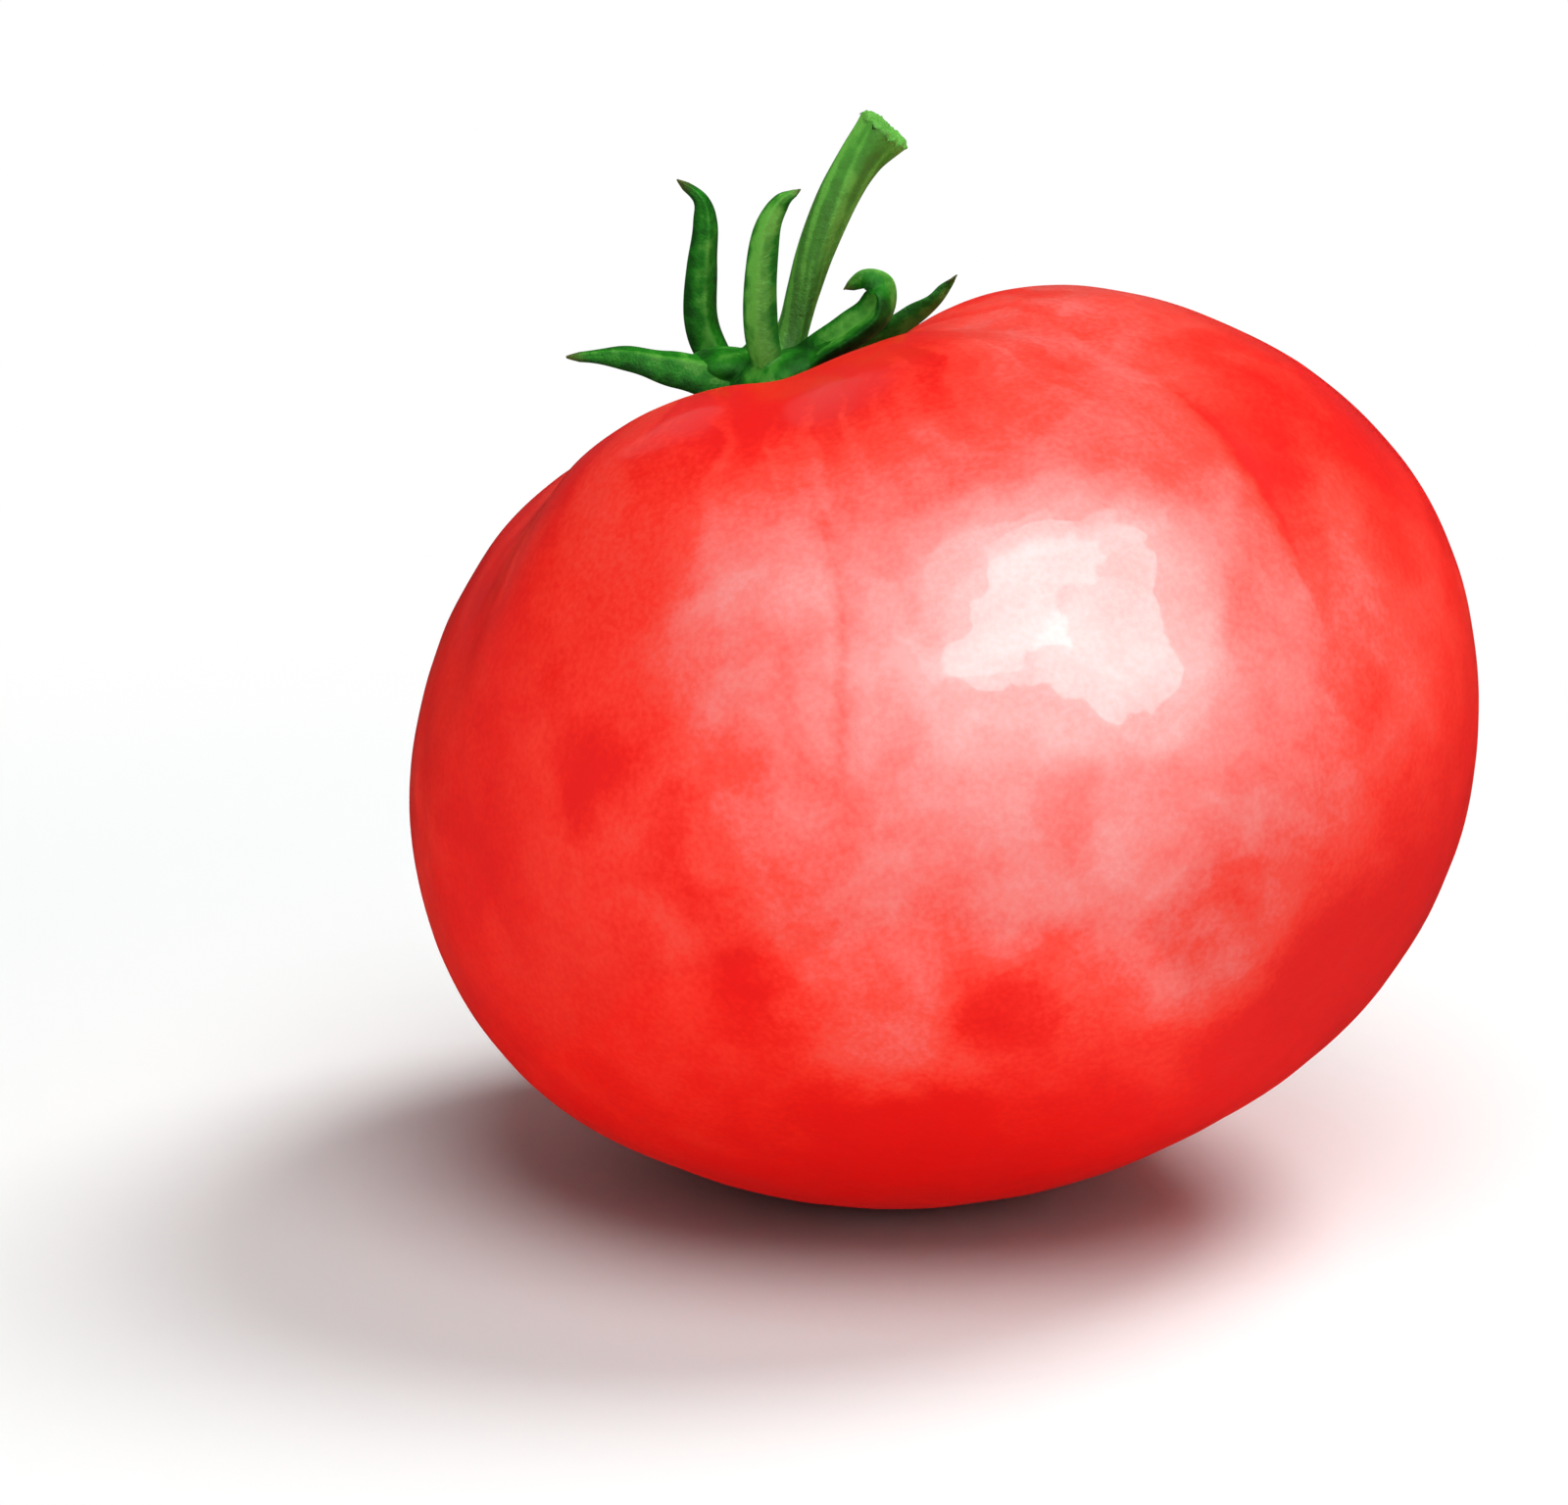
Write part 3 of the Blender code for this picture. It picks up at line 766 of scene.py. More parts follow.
def soft_light(name, side, rise, distance, reach, radiance, only_shine=False):
    """A round light aimed at the fruit.

    side is its direction, in degrees to the right of the camera, and rise its height in
    degrees.  reach is its apparent radius in degrees, and radiance how bright its face is.
    """
    size = 2 * distance * math.tan(math.radians(reach))
    data = bpy.data.lights.new(name, "AREA")
    data.shape = "DISK"
    data.size = size
    data.energy = radiance * math.pi * math.pi * size ** 2 / 4
    light = bpy.data.objects.new(name, data)
    a, e = math.radians(side), math.radians(rise)
    towards = Vector((math.sin(a) * math.cos(e), -math.cos(a) * math.cos(e), math.sin(e)))
    light.location = FRUIT_MIDDLE + towards * distance
    light.rotation_euler = (-towards).to_track_quat("-Z", "Y").to_euler()
    light.visible_camera = False
    light.visible_diffuse = not only_shine
    light.visible_glossy = only_shine
    bpy.context.scene.collection.objects.link(light)
    return light


lamps = {name: soft_light(name, *spec) for name, spec in LAMPS.items()}
panels = [soft_light(name, *spec, only_shine=True) for name, spec in PANELS.items()]
fills = [soft_light(name, *spec) for name, spec in FILLS.items()]
print("lamps:", len(lamps), " panels:", len(panels), " fills:", len(fills))

# %% [markdown]
# ### What each lamp may light
# Light linking keeps the fill lamps to the fruit and its calyx, so they leave the floor and its
# shadow alone.  Their light, and that of the front lamp, isn't passed on from one surface to
# the next, because the red underside would tint the floor.

# %% Light linking
lit_pieces = bpy.data.collections.new("lit_by_fill")
for piece in [fruit_skin, calyx_crown, stem_stalk] + sepals:
    lit_pieces.objects.link(piece)
for lamp in fills:
    lamp.light_linking.receiver_collection = lit_pieces
    lamp.light_linking.blocker_collection = lit_pieces
    lamp.data.cycles.max_bounces = 0
lamps["lamp_front"].data.cycles.max_bounces = 0

# %% [markdown]
# ### The surroundings
# The world is plain white to the camera.  It gives lit surfaces a little even light, which
# keeps the shadow from going black, and it is almost dark in reflections, so that only the panels
# shine in the skin.

# %% Surroundings
SURROUND_LIGHT = 0.145                # what the surroundings give to lit surfaces
SURROUND_SHINE = 0.07                 # how bright they are in reflections
world = bpy.data.worlds.new("surroundings")
world.use_nodes = True
bpy.context.scene.world = world
tree = world.node_tree
background = tree.nodes["Background"]
rays = add_node(tree, "ShaderNodeLightPath", (-900, 0))
by_shine = add_node(tree, "ShaderNodeMix", (-500, 0))
by_shine.inputs["A"].default_value = SURROUND_LIGHT
by_shine.inputs["B"].default_value = SURROUND_SHINE
by_camera = add_node(tree, "ShaderNodeMix", (-250, 0))
by_camera.inputs["B"].default_value = 1.0
link(tree, rays.outputs["Is Glossy Ray"], by_shine.inputs["Factor"])
link(tree, rays.outputs["Is Camera Ray"], by_camera.inputs["Factor"])
link(tree, by_shine.outputs["Result"], by_camera.inputs["A"])
link(tree, by_camera.outputs["Result"], background.inputs["Strength"])
background.inputs["Color"].default_value = (1, 1, 1, 1)
bpy.context.scene.view_settings.view_transform = "Standard"

# %% [markdown]
# ## Effects shared by the materials
# Skin, calyx and stem all need patches of colour and a little unevenness, at different sizes.
# Each effect is made once as a node group, with its own named inputs, and is placed in each
# material with that material's values.

# %% Node helpers
FLOAT, VECTOR = "NodeSocketFloat", "NodeSocketVector"


def new_group(name, inputs, outputs):
    """A shader node group with named sockets; inputs are (name, type, default)."""
    group = bpy.data.node_groups.new(name, "ShaderNodeTree")
    for label, kind, default in inputs:
        socket = group.interface.new_socket(label, in_out="INPUT", socket_type=kind)
        if default is not None:
            socket.default_value = default
    for label, kind in outputs:
        group.interface.new_socket(label, in_out="OUTPUT", socket_type=kind)
    print("group:", name, "with", [label for label, _, _ in inputs])
    return group, add_node(group, "NodeGroupInput", (-800, 0)), add_node(group, "NodeGroupOutput", (800, 0))


def place_group(tree, group, place, **values):
    """Put a group in a material; a value may be a number, a vector or another node's socket."""
    node = add_node(tree, "ShaderNodeGroup", place, node_tree=group)
    for label, value in values.items():
        give(tree, value, node.inputs[label.replace("_", " ")])
    return node.outputs[0]


def give(tree, value, socket):
    if isinstance(value, bpy.types.NodeSocket):
        link(tree, value, socket)
    else:
        socket.default_value = value


def calculate(tree, place, operation, first, second=0.0, third=0.0):
    node = add_node(tree, "ShaderNodeMath", place, operation=operation)
    for socket, value in zip(node.inputs, (first, second, third)):
        give(tree, value, socket)
    return node.outputs["Value"]


def mix_colour(tree, place, amount, first, second):
    node = add_node(tree, "ShaderNodeMix", place, data_type="RGBA")
    sockets = [s for s in node.inputs if s.enabled]
    for socket, value in zip(sockets, (amount, first, second)):
        give(tree, value, socket)
    return [s for s in node.outputs if s.enabled][0]


print("group helpers:", [f.__name__ for f in (new_group, place_group, give, calculate, mix_colour)])

# %% [markdown]
# ### Cloudy patches
# Noise gives soft clouds.  Two limits then say where a patch begins and where it is full, so the
# same group can give faint mottling or patches with a clear edge.

# %% Patches group
patches, ins, outs = new_group(
    "patches",
    [("Place", VECTOR, None), ("Patches per metre", FLOAT, 60.0), ("Detail", FLOAT, 4.0),
     ("Begins", FLOAT, 0.45), ("Full", FLOAT, 0.65), ("Seed", FLOAT, 0.0)],
    [("Mask", FLOAT)])
clouds = add_node(patches, "ShaderNodeTexNoise", (-400, 0), noise_dimensions="4D")
limits = add_node(patches, "ShaderNodeMapRange", (100, 0), interpolation_type="SMOOTHSTEP")
link(patches, ins.outputs["Place"], clouds.inputs["Vector"])
link(patches, ins.outputs["Patches per metre"], clouds.inputs["Scale"])
link(patches, ins.outputs["Detail"], clouds.inputs["Detail"])
link(patches, ins.outputs["Seed"], clouds.inputs["W"])
link(patches, clouds.outputs["Fac"], limits.inputs["Value"])
link(patches, ins.outputs["Begins"], limits.inputs["From Min"])
link(patches, ins.outputs["Full"], limits.inputs["From Max"])
link(patches, limits.outputs["Result"], outs.inputs["Mask"])

# %% [markdown]
# ### One soft spot
# A spot is round about its middle and fades out towards its reach.  Fed with a ragged place, its
# edge turns irregular, like a patch that ripened at its own pace.

# %% Soft spot group
soft_spot, ins, outs = new_group(
    "soft_spot",
    [("Place", VECTOR, None), ("Middle", VECTOR, None), ("Reach", FLOAT, 0.01), ("Full", FLOAT, 0.0)],
    [("Mask", FLOAT)])
apart = add_node(soft_spot, "ShaderNodeVectorMath", (-400, 0), operation="DISTANCE")
limits = add_node(soft_spot, "ShaderNodeMapRange", (100, 0), interpolation_type="SMOOTHSTEP")
link(soft_spot, ins.outputs["Place"], apart.inputs[0])
link(soft_spot, ins.outputs["Middle"], apart.inputs[1])
link(soft_spot, apart.outputs["Value"], limits.inputs["Value"])
link(soft_spot, ins.outputs["Reach"], limits.inputs["From Min"])
link(soft_spot, ins.outputs["Full"], limits.inputs["From Max"])
link(soft_spot, limits.outputs["Result"], outs.inputs["Mask"])

# %% [markdown]
# ### A ragged place
# Moving the place itself by a little noise bends every pattern that is laid over it, so that no
# spot or stripe keeps a clean edge.

# %% Ragged place group
ragged_place, ins, outs = new_group(
    "ragged_place",
    [("Place", VECTOR, None), ("Bends per metre", FLOAT, 90.0), ("Push", FLOAT, 0.004)],
    [("Place", VECTOR)])
bend = add_node(ragged_place, "ShaderNodeTexNoise", (-400, 100))
bend.inputs["Detail"].default_value = 5.0
centred = add_node(ragged_place, "ShaderNodeVectorMath", (-150, 100), operation="SUBTRACT")
centred.inputs[1].default_value = (0.5, 0.5, 0.5)
scaled = add_node(ragged_place, "ShaderNodeVectorMath", (100, 100), operation="SCALE")
moved = add_node(ragged_place, "ShaderNodeVectorMath", (350, 0), operation="ADD")
link(ragged_place, ins.outputs["Place"], bend.inputs["Vector"])
link(ragged_place, ins.outputs["Bends per metre"], bend.inputs["Scale"])
link(ragged_place, bend.outputs["Color"], centred.inputs[0])
link(ragged_place, centred.outputs["Vector"], scaled.inputs[0])
link(ragged_place, ins.outputs["Push"], scaled.inputs["Scale"])
link(ragged_place, ins.outputs["Place"], moved.inputs[0])
link(ragged_place, scaled.outputs["Vector"], moved.inputs[1])
link(ragged_place, moved.outputs["Vector"], outs.inputs["Place"])

# %% [markdown]
# ### Fine relief
# Skin and leaf are never perfectly smooth.  Two sizes of noise are added into one height, which
# a Bump node in the material turns into shading.

# %% Relief group
fine_relief, ins, outs = new_group(
    "fine_relief",
    [("Place", VECTOR, None), ("Coarse per metre", FLOAT, 300.0), ("Fine per metre", FLOAT, 2000.0),
     ("Fine share", FLOAT, 0.4)],
    [("Height", FLOAT)])
coarse = add_node(fine_relief, "ShaderNodeTexNoise", (-400, 150))
fine = add_node(fine_relief, "ShaderNodeTexNoise", (-400, -150))
both = add_node(fine_relief, "ShaderNodeMath", (100, 0), operation="MULTIPLY_ADD")
link(fine_relief, ins.outputs["Place"], coarse.inputs["Vector"])
link(fine_relief, ins.outputs["Place"], fine.inputs["Vector"])
link(fine_relief, ins.outputs["Coarse per metre"], coarse.inputs["Scale"])
link(fine_relief, ins.outputs["Fine per metre"], fine.inputs["Scale"])
link(fine_relief, fine.outputs["Fac"], both.inputs[0])
link(fine_relief, ins.outputs["Fine share"], both.inputs[1])
link(fine_relief, coarse.outputs["Fac"], both.inputs[2])
link(fine_relief, both.outputs["Value"], outs.inputs["Height"])

# %% [markdown]
# ## The red skin
# Ripe skin is a thin clear layer over red flesh.  Its colour isn't even: it is scarlet near the
# calyx, at the sides and below, and paler and pinker over the cheeks.  The big pale pink cheek on
# the front is partly paler ripening and mostly a painted glow round the highlight, and a maroon
# ring round the calyx is painted shade.  Deeper red blotches lie where a cheek ends, and the one
# low on the front right is also painted shade along the lower edge.  Faint paler rays run down
# from the stem end over the shoulders.

# %% Skin colours and spots
DEEP_RED = (0.74, 0.0030, 0.0016, 1)
SCARLET = (0.80, 0.0085, 0.0030, 1)
BRIGHT_RED = (0.86, 0.0260, 0.0130, 1)
ORANGE_RED = (0.86, 0.0620, 0.0420, 1)
SALMON = (0.83, 0.185, 0.168, 1)
PALE_PINK = (0.82, 0.290, 0.275, 1)
BLOSSOM_SCAR = (0.150, 0.060, 0.025, 1)
# A maroon for a ring round the calyx: painted shade where the calyx sits on the skin.
PAINTED_CALYX_SHADE = (0.200, 0.003, 0.0015, 1)
# Where these numbers come from: ten middles in the blotch table are a ray-casting program's output,
# the first nine as it printed them and the tenth halfway between two of its points.  The middles on
# the -Y side in the cheek and waxy tables were set with that output in view.  The rest were set one
# by one.
# Pale cheeks: those on the front, the -Y side, are mostly a painted glow and painted highlights round the
# shine, and those behind are the skin's own uneven ripening.  The one with a negative strength makes the
# skin next to the calyx deeper red.
CHEEKS_AND_PAINTED_GLOW = [                  # middle in the fruit's frame (mm), reach (mm), how pale it gets
    ((7.0, -36.5, 1.5), 35.0, 0.78), ((10.0, -31.0, -17.0), 15.0, 0.24), ((-7.0, -33.5, 13.0), 11.0, 0.22),
    ((-12.0, -33.0, 9.0), 26.0, 0.18), ((30.0, -22.0, -2.0), 22.0, 0.32), ((-11.0, -30.0, -17.0), 9.0, 0.22),
    ((24.0, 26.0, 6.0), 30.0, 0.60), ((-26.0, 22.0, 8.0), 26.0, 0.50), ((-34.0, -6.0, 8.0), 18.0, 0.22),
    ((4.0, 37.0, -4.0), 20.0, 0.45), ((2.0, -16.0, 27.0), 15.0, -0.30), ((22.0, -14.0, 22.0), 20.0, 0.42),
    ((-20.0, -30.0, -6.0), 27.0, 0.11), ((28.0, 16.0, -17.0), 16.0, 0.42), ((34.0, 6.0, -8.0), 9.0, 0.20),
    ((16.0, 16.0, -27.0), 10.0, 0.26),
]
# Deep red blotches: the ninth, low on the front right, also darkens the lower edge there as painted shade.
BLOTCHES_AND_EDGE_SHADE = [                # the same, for deep red blotches
    ((-22.4, -29.3, 7.7), 6.0, 0.30), ((-17.4, -32.0, -8.8), 6.5, 0.32), ((-2.1, -33.6, -15.0), 7.0, 0.30),
    ((-10.3, -24.4, -22.2), 6.0, 0.30), ((11.9, -32.3, -14.6), 6.0, 0.35), ((-18.5, -33.2, 0.1), 6.0, 0.25),
    ((-9.9, -36.1, -4.0), 5.0, 0.20), ((26.6, -26.3, -5.7), 5.0, 0.22), ((13.4, -22.2, -25.2), 9.0, 0.35),
    ((26.5, -24.0, 9.0), 6.0, 0.20), ((31.0, 18.0, -12.0), 8.0, 0.35), ((-12.0, 34.0, -8.0), 9.0, 0.40),
    ((12.0, 32.0, -16.0), 8.0, 0.40), ((-34.0, 10.0, -8.0), 8.0, 0.35), ((20.0, 30.0, 14.0), 7.0, 0.30),
]

WAXY = [                    # the same, for patches with more wax, which shine more
    ((11.0, -35.5, 5.0), 6.6, 0.44), ((7.5, -35.0, 8.5), 5.8, 0.36), ((9.5, -35.0, 7.5), 13.0, 0.26),
    ((30.0, 20.0, 8.0), 12.0, 0.30), ((-20.0, 30.0, 6.0), 14.0, 0.30), ((-30.0, -16.0, 12.0), 7.0, 0.25),
]

print("cheeks:", len(CHEEKS_AND_PAINTED_GLOW), " blotches:", len(BLOTCHES_AND_EDGE_SHADE), " waxy patches:", len(WAXY))

# %% [markdown]
# ### Patterns over the skin
# All patterns start from the place on the fruit.  Two ragged copies of that place give the
# spots irregular edges, and a third, coarser one is for the waxy patches.  Noise at three
# sizes adds clouds, mottling and a fine grain.  Fine rays run down from the calyx: they are noise
# that changes round the fruit and hardly at all down it.

# %% Skin patterns
skin_material, tree, shader = new_material("ripe_skin")
place = add_node(tree, "ShaderNodeTexCoord", (-2600, 0)).outputs["Object"]
ragged = place_group(tree, ragged_place, (-2400, 0), Place=place, Bends_per_metre=85.0, Push=0.012)
frayed = place_group(tree, ragged_place, (-2200, 0), Place=ragged, Bends_per_metre=420.0, Push=0.0024)
crinkled = place_group(tree, ragged_place, (-1900, -700), Place=ragged, Bends_per_metre=260.0,
                       Push=0.0065)


def add_spots(tree, place, column, spots, full=0.1):
    """The sum of many soft spots, each times its own strength."""
    total = 0.0
    for row, (middle, reach, strength) in enumerate(spots):
        middle = tuple(c * MM for c in middle)
        mask = place_group(tree, soft_spot, (column, -200 * row), Place=place, Middle=middle,
                           Reach=reach * MM, Full=reach * MM * full)
        total = calculate(tree, (column + 200, -200 * row), "MULTIPLY_ADD", mask, strength, total)
    return total


def skin_patches(tree, place, row, size, detail, begins, full, seed):
    return place_group(tree, patches, (-1500, row), Place=place, Patches_per_metre=size, Detail=detail,
                       Begins=begins, Full=full, Seed=seed)


# Pale cheeks, which on the front are mostly a painted glow round the highlight.
cheek_and_painted_glow = add_spots(tree, frayed, -2000, CHEEKS_AND_PAINTED_GLOW)
# Deep red blotches, one of which is painted shade along the lower front right edge.
blotch_and_edge_shade = add_spots(tree, frayed, -1500, BLOTCHES_AND_EDGE_SHADE)
clouds = skin_patches(tree, place, 300, 55.0, 6.0, 0.25, 0.75, 1.0)
mottle = skin_patches(tree, ragged, 500, 170.0, 7.0, 0.25, 0.75, 3.0)
grain = skin_patches(tree, place, 700, 2400.0, 3.0, 0.3, 0.7, 5.0)

around = add_node(tree, "ShaderNodeVectorMath", (-2200, 900), operation="MULTIPLY")
around.inputs[1].default_value = (1.0, 1.0, 0.0)
link(tree, ragged, around.inputs[0])
direction = add_node(tree, "ShaderNodeVectorMath", (-2000, 900), operation="NORMALIZE")
link(tree, around.outputs["Vector"], direction.inputs[0])
rays = skin_patches(tree, direction.outputs["Vector"], 900, 11.0, 4.0, 0.40, 0.62, 2.0)
shoulder_zone = place_group(tree, soft_spot, (-1800, 1100), Place=place, Middle=(0.0, 0.0, 0.028),
                            Reach=0.040, Full=0.012)
rays = calculate(tree, (-1300, 900), "MULTIPLY", rays, shoulder_zone)
print("nodes so far:", len(tree.nodes))

# %% [markdown]
# ### From patterns to one colour
# The patterns are added into one number, how pale the skin is, and a colour ramp turns that
# number into deep red, scarlet, orange red, salmon or pale pink.  Adding first and
# colouring last keeps every tint on the same natural scale.

# %% Skin colour
REDNESS = 0.21                        # taken off everywhere, so that unmarked skin is red
RAMP = [(0.0, DEEP_RED), (0.09, SCARLET), (0.22, BRIGHT_RED), (0.40, ORANGE_RED), (0.75, SALMON),
        (1.0, PALE_PINK)]


def ramp_between(tree, place, value, stops):
    """Colours for a value from 0 to 1; stops are (value, colour)."""
    node = add_node(tree, "ShaderNodeValToRGB", place)
    points = node.color_ramp.elements
    points[0].position, points[0].color = stops[0]
    points[1].position, points[1].color = stops[-1]
    for where, shade in stops[1:-1]:
        points.new(where).color = shade
    link(tree, value, node.inputs["Fac"])
    return node.outputs["Color"]


# The lobe tone: small differences between lobes, and painted light on the front lobe under the highlight.
lobe_tone_and_light = add_node(tree, "ShaderNodeAttribute", (-1400, -300), attribute_name="lobe_tone_and_light").outputs["Fac"]
uneven_cheek_and_glow = calculate(tree, (-1300, 200), "MULTIPLY", cheek_and_painted_glow, calculate(
    tree, (-1400, 200), "MULTIPLY_ADD", mottle, 0.38, 0.81))
pale = calculate(tree, (-1250, 0), "ADD", uneven_cheek_and_glow, lobe_tone_and_light)
pale = calculate(tree, (-1200, 0), "SUBTRACT", pale, blotch_and_edge_shade)
# The furrow value makes the bottom of each furrow deeper red: painted shade in the crease.
furrow = add_node(tree, "ShaderNodeAttribute", (-1000, -300), attribute_name="furrow").outputs["Fac"]
shares = ((clouds, 0.20), (mottle, 0.10), (grain, 0.10), (rays, 0.26), (furrow, -0.22))
for step, (pattern, share) in enumerate(shares):
    pale = calculate(tree, (-1100 + 100 * step, 0), "MULTIPLY_ADD", pattern, share, pale)
pale = calculate(tree, (-600, 0), "SUBTRACT", pale, REDNESS)
# A ring round the calyx is mixed to maroon: painted shade under and round the calyx.
ring = place_group(tree, soft_spot, (-450, 600), Place=frayed, Middle=(0.0, 0.0, 0.0245), Reach=0.0145,
                   Full=0.0090)
colour = ramp_between(tree, (-450, 200), pale, RAMP)
calyx_shade_amount = calculate(tree, (-300, 600), "MULTIPLY", ring, 0.85)
colour = mix_colour(tree, (-150, 300), calyx_shade_amount, colour, PAINTED_CALYX_SHADE)
scar = place_group(tree, soft_spot, (-450, 900), Place=frayed, Middle=(0.0, 0.0, -0.0316), Reach=0.0026,
                   Full=0.0010)
colour = mix_colour(tree, (-100, 600), scar, colour, BLOSSOM_SCAR)
link(tree, colour, shader.inputs["Base Color"])
print("stops of the ramp:", [where for where, _ in RAMP])

# %% [markdown]
# ### Shine and relief
# Ripe skin has a thin clear wax over it, which the Coat setting gives.  The wax isn't even:
# where it is thicker, the mirrored panels are brighter, which breaks the highlight into ragged
# patches.  It is thin in the basin under the calyx.  A little light also goes into the flesh
# and comes out again nearby, which the Subsurface setting gives.

# %% Skin shine
COAT = 0.29
relief = place_group(tree, fine_relief, (-800, -500), Place=place, Coarse_per_metre=900.0,
                     Fine_per_metre=3200.0, Fine_share=0.35)
bump = add_node(tree, "ShaderNodeBump", (-300, -500))
bump.inputs["Strength"].default_value = 0.12
bump.inputs["Distance"].default_value = 0.0002
link(tree, relief, bump.inputs["Height"])
link(tree, bump.outputs["Normal"], shader.inputs["Normal"])
set_input(shader, "Roughness", 0.46)
set_input(shader, "Specular IOR Level", 0.15)
waxy = place_group(tree, patches, (-1200, -700), Place=frayed, Patches_per_metre=150.0, Detail=6.0,
                   Begins=0.44, Full=0.54, Seed=8.0)
waxy_spots = add_spots(tree, crinkled, -1700, WAXY, full=0.96)
waxy = calculate(tree, (-1100, -700), "MULTIPLY", waxy, 0.16)
waxy = calculate(tree, (-1000, -700), "MAXIMUM", waxy, waxy_spots)
coat = calculate(tree, (-900, -700), "ADD", waxy, COAT)
basin = place_group(tree, soft_spot, (-1000, -900), Place=place, Middle=(0.0, 0.0, 0.0265), Reach=0.021,
                    Full=0.012)
coat = calculate(tree, (-800, -700), "MULTIPLY_ADD", basin, -0.28, coat)
link(tree, coat, shader.inputs["Coat Weight"])
set_input(shader, "Coat Roughness", 0.13)
set_input(shader, "Subsurface Weight", 0.15)
set_input(shader, "Subsurface Radius", (1.0, 0.25, 0.12))
set_input(shader, "Subsurface Scale", 0.003)
fruit_skin.data.materials.append(skin_material)
print("skin nodes:", len(tree.nodes))

# %% [markdown]
# ## The calyx leaf
# A sepal is dark green at its edges and paler along the rib: the dark edges are painted shade, the
# pale middle is a painted highlight, and the veins are paler where less green lies over them.
# Short soft hairs cover it, which is why it has no sharp shine, only a faint bloom.  The Sheen
# setting gives that bloom without a single hair being modelled.

# %% Leaf colours and finish
LEAF_DARK = (0.0010, 0.050, 0.0006, 1)
LEAF = (0.0080, 0.160, 0.0030, 1)
LEAF_LIGHT = (0.110, 0.400, 0.045, 1)
STEM_LIGHT = (0.130, 0.430, 0.060, 1)
PITH = (0.110, 0.380, 0.050, 1)
DRY = (0.070, 0.080, 0.015, 1)
LEAF_RELIEF, STEM_RELIEF = 0.35, 0.40


def attribute(tree, place, name):
    return add_node(tree, "ShaderNodeAttribute", place, attribute_name=name).outputs["Fac"]


def leafy(name, amounts, relief_strength):
    """A hairy green surface; amounts(tree, place) gives how light it is, from 0 to 1."""
    material, tree, shader = new_material(name)
    place = add_node(tree, "ShaderNodeTexCoord", (-2000, 0)).outputs["Object"]
    light = amounts(tree, place)
    mottle = place_group(tree, patches, (-1400, 300), Place=place, Patches_per_metre=700.0, Detail=5.0,
                         Begins=0.25, Full=0.75, Seed=11.0)
    light = calculate(tree, (-800, 200), "MULTIPLY_ADD", mottle, 0.60, light)
    light = calculate(tree, (-650, 200), "SUBTRACT", light, 0.32)
    colour = ramp_between(tree, (-400, 200), light, [(0.0, LEAF_DARK), (0.45, LEAF), (1.0, LEAF_LIGHT)])
    relief = place_group(tree, fine_relief, (-800, -400), Place=place, Coarse_per_metre=1800.0,
                         Fine_per_metre=6000.0, Fine_share=0.5)
    bump = add_node(tree, "ShaderNodeBump", (-300, -400))
    bump.inputs["Strength"].default_value = relief_strength
    bump.inputs["Distance"].default_value = 0.0003
    link(tree, relief, bump.inputs["Height"])
    link(tree, bump.outputs["Normal"], shader.inputs["Normal"])
    set_input(shader, "Roughness", 0.55)
    set_input(shader, "Specular IOR Level", 0.10)
    set_input(shader, "Sheen Weight", 0.04)
    set_input(shader, "Sheen Roughness", 0.4)
    set_input(shader, "Sheen Tint", (0.75, 1.0, 0.6, 1))
    return material, tree, shader, place, colour


print("greens, dark to light:", LEAF_DARK[:3], LEAF[:3], LEAF_LIGHT[:3])

# %% [markdown]
# ### Sepals and crown
# A sepal is lightest on its veins and in the middle of its length, and dry at its very tip.  It is
# dark at its edges and pale across its middle, which is painted shade and a painted highlight.  The
# crown, which is the hub that all sepals share, has broad soft patches.

# %% Sepal and crown materials
def sepal_light(tree, place):
    across = calculate(tree, (-1700, -200), "ABSOLUTE", attribute(tree, (-1900, -200), "across"))
    # Darker towards the edges and paler across the middle: painted shade and a painted highlight.
    painted_edge_shade = add_node(tree, "ShaderNodeMapRange", (-1500, -200), interpolation_type="SMOOTHSTEP")
    painted_edge_shade.inputs["From Min"].default_value = 1.0
    painted_edge_shade.inputs["From Max"].default_value = 0.45
    link(tree, across, painted_edge_shade.inputs["Value"])
    light = calculate(tree, (-1300, -200), "MULTIPLY", painted_edge_shade.outputs["Result"], 0.50)
    vein = attribute(tree, (-1500, -400), "vein")
    light = calculate(tree, (-1150, -200), "MULTIPLY_ADD", vein, 0.30, light)
    along = attribute(tree, (-1500, -600), "along")
    half_turn = calculate(tree, (-1400, -600), "MULTIPLY", along, math.pi)
    middle = calculate(tree, (-1300, -600), "SINE", half_turn)
    light = calculate(tree, (-1100, -200), "MULTIPLY_ADD", middle, 0.18, light)
    return calculate(tree, (-1000, -200), "ADD", light, attribute(tree, (-1200, -400), "tone"))


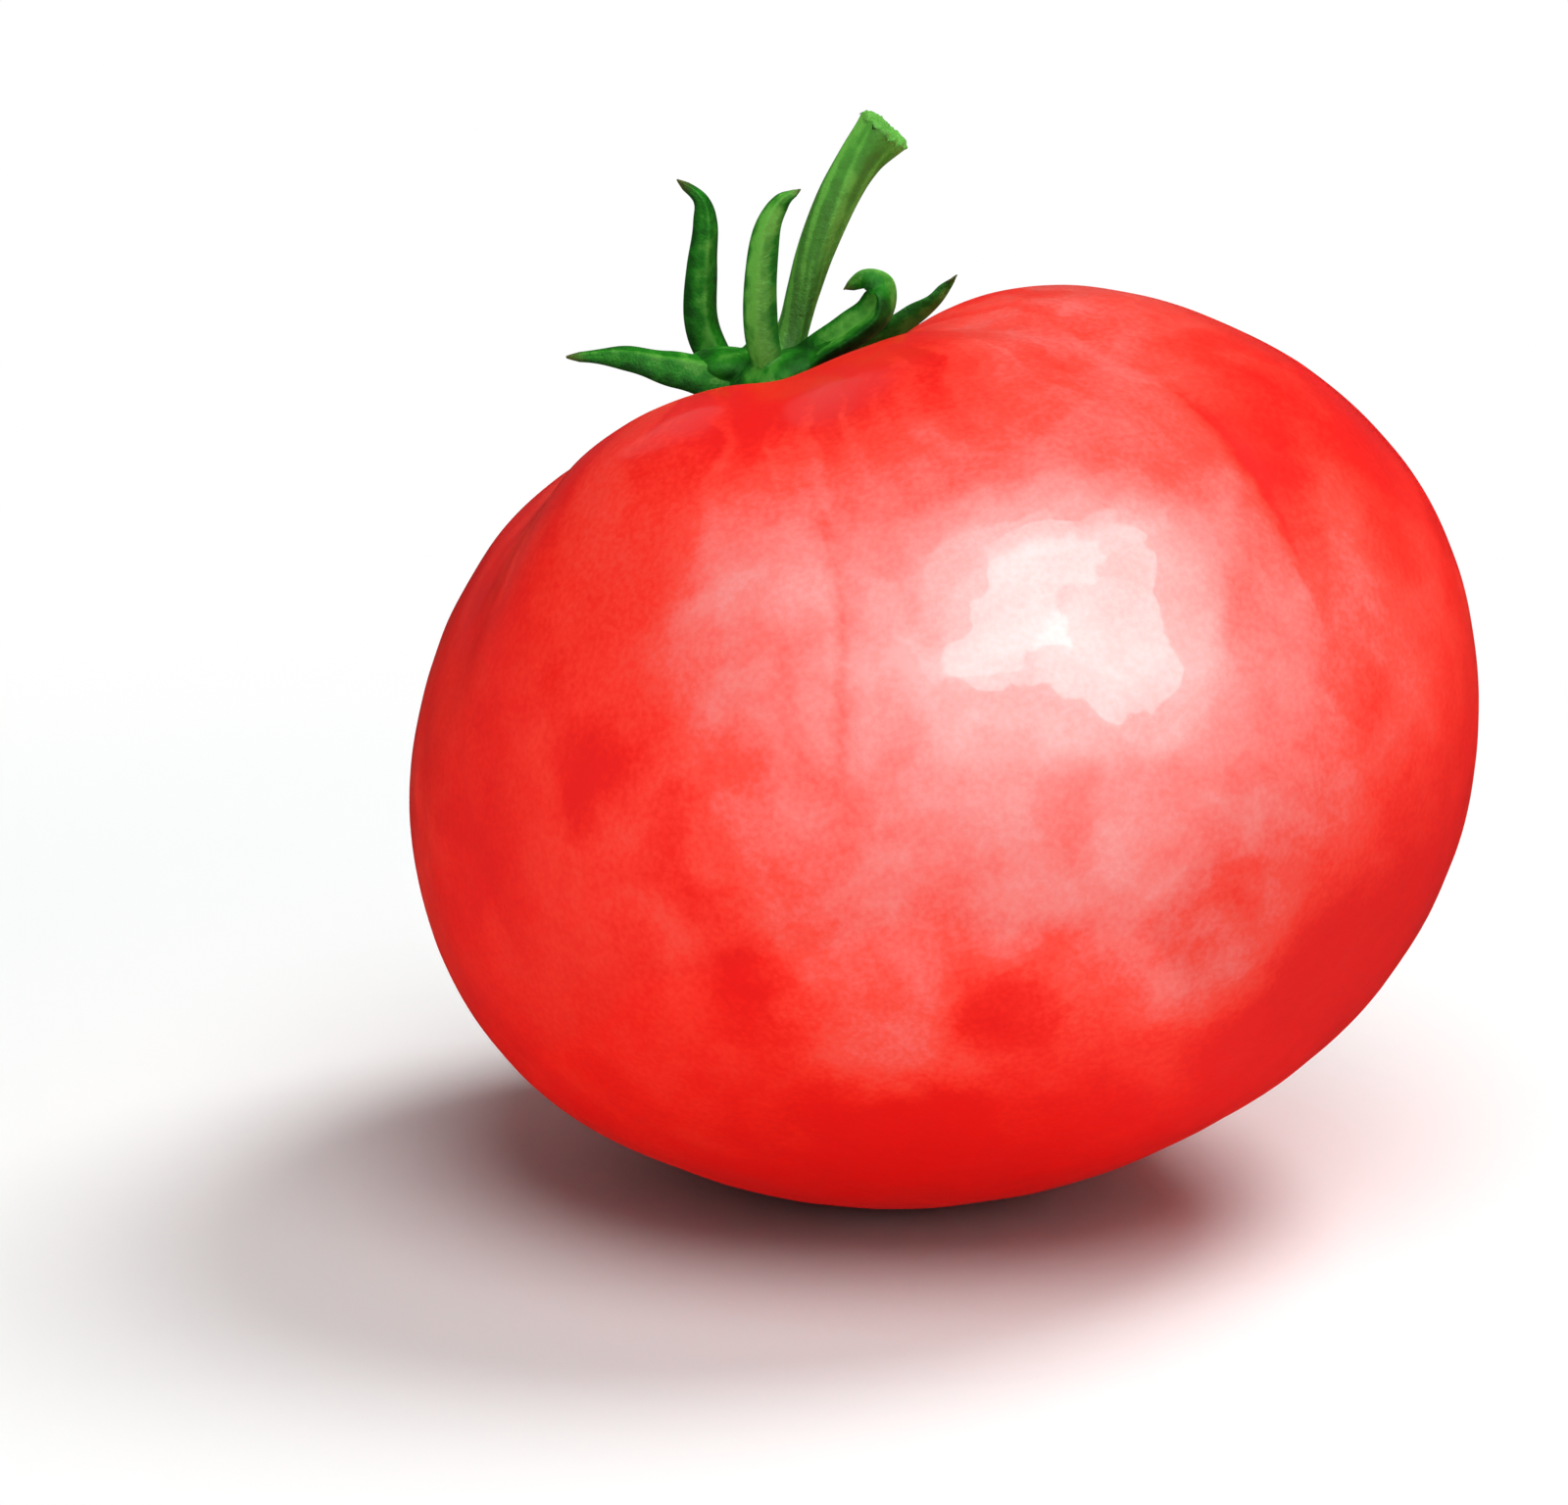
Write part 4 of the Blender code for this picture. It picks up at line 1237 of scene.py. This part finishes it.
DRY_FROM, DRY_FULL = 0.90, 1.02       # share of the length where the tip starts to be dry
sepal_material, tree, shader, place, colour = leafy("sepal_leaf", sepal_light, LEAF_RELIEF)
dry_tip = add_node(tree, "ShaderNodeMapRange", (-400, 500), interpolation_type="SMOOTHSTEP")
dry_tip.inputs["From Min"].default_value = DRY_FROM
dry_tip.inputs["From Max"].default_value = DRY_FULL
link(tree, attribute(tree, (-600, 500), "along"), dry_tip.inputs["Value"])
colour = mix_colour(tree, (-150, 300), dry_tip.outputs["Result"], colour, DRY)
link(tree, colour, shader.inputs["Base Color"])
for piece in sepals:
    piece.data.materials.append(sepal_material)


def crown_light(tree, place):
    broad = place_group(tree, patches, (-1500, -200), Place=place, Patches_per_metre=260.0, Detail=4.0,
                        Begins=0.3, Full=0.7, Seed=14.0)
    return calculate(tree, (-1200, -200), "MULTIPLY_ADD", broad, 0.70, -0.02)


crown_material, tree, shader, place, colour = leafy("crown_green", crown_light, LEAF_RELIEF)
link(tree, colour, shader.inputs["Base Color"])
calyx_crown.data.materials.append(crown_material)
print("leaf materials:", sepal_material.name, crown_material.name)

# %% [markdown]
# ## The stem's finish
# The stem is paler than the leaves, with fine fibres running up it.  Where it was cut, the green
# skin ends and the pale fibres of the inside show.

# %% Stem material
def stem_light(tree, place):
    fibre = attribute(tree, (-1700, -200), "fibre")
    light = calculate(tree, (-1500, -200), "MULTIPLY_ADD", fibre, 1.3, 0.42)
    along = attribute(tree, (-1700, -400), "along")
    return calculate(tree, (-1300, -200), "MULTIPLY_ADD", along, 0.12, light)


stem_material, tree, shader, place, colour = leafy("stem_green", stem_light, STEM_RELIEF)
colour = mix_colour(tree, (-250, 500), 0.42, colour, STEM_LIGHT)
speckle = place_group(tree, patches, (-800, 700), Place=place, Patches_per_metre=2600.0, Detail=2.0,
                      Begins=0.35, Full=0.65, Seed=21.0)
cut = attribute(tree, (-800, 900), "cut_face")
cut_amount = calculate(tree, (-500, 800), "MULTIPLY", cut, calculate(
    tree, (-650, 700), "MULTIPLY_ADD", speckle, 0.6, 0.4))
colour = mix_colour(tree, (-100, 500), cut_amount, colour, PITH)
link(tree, colour, shader.inputs["Base Color"])
stem_stalk.data.materials.append(stem_material)
print("stem material:", stem_material.name)
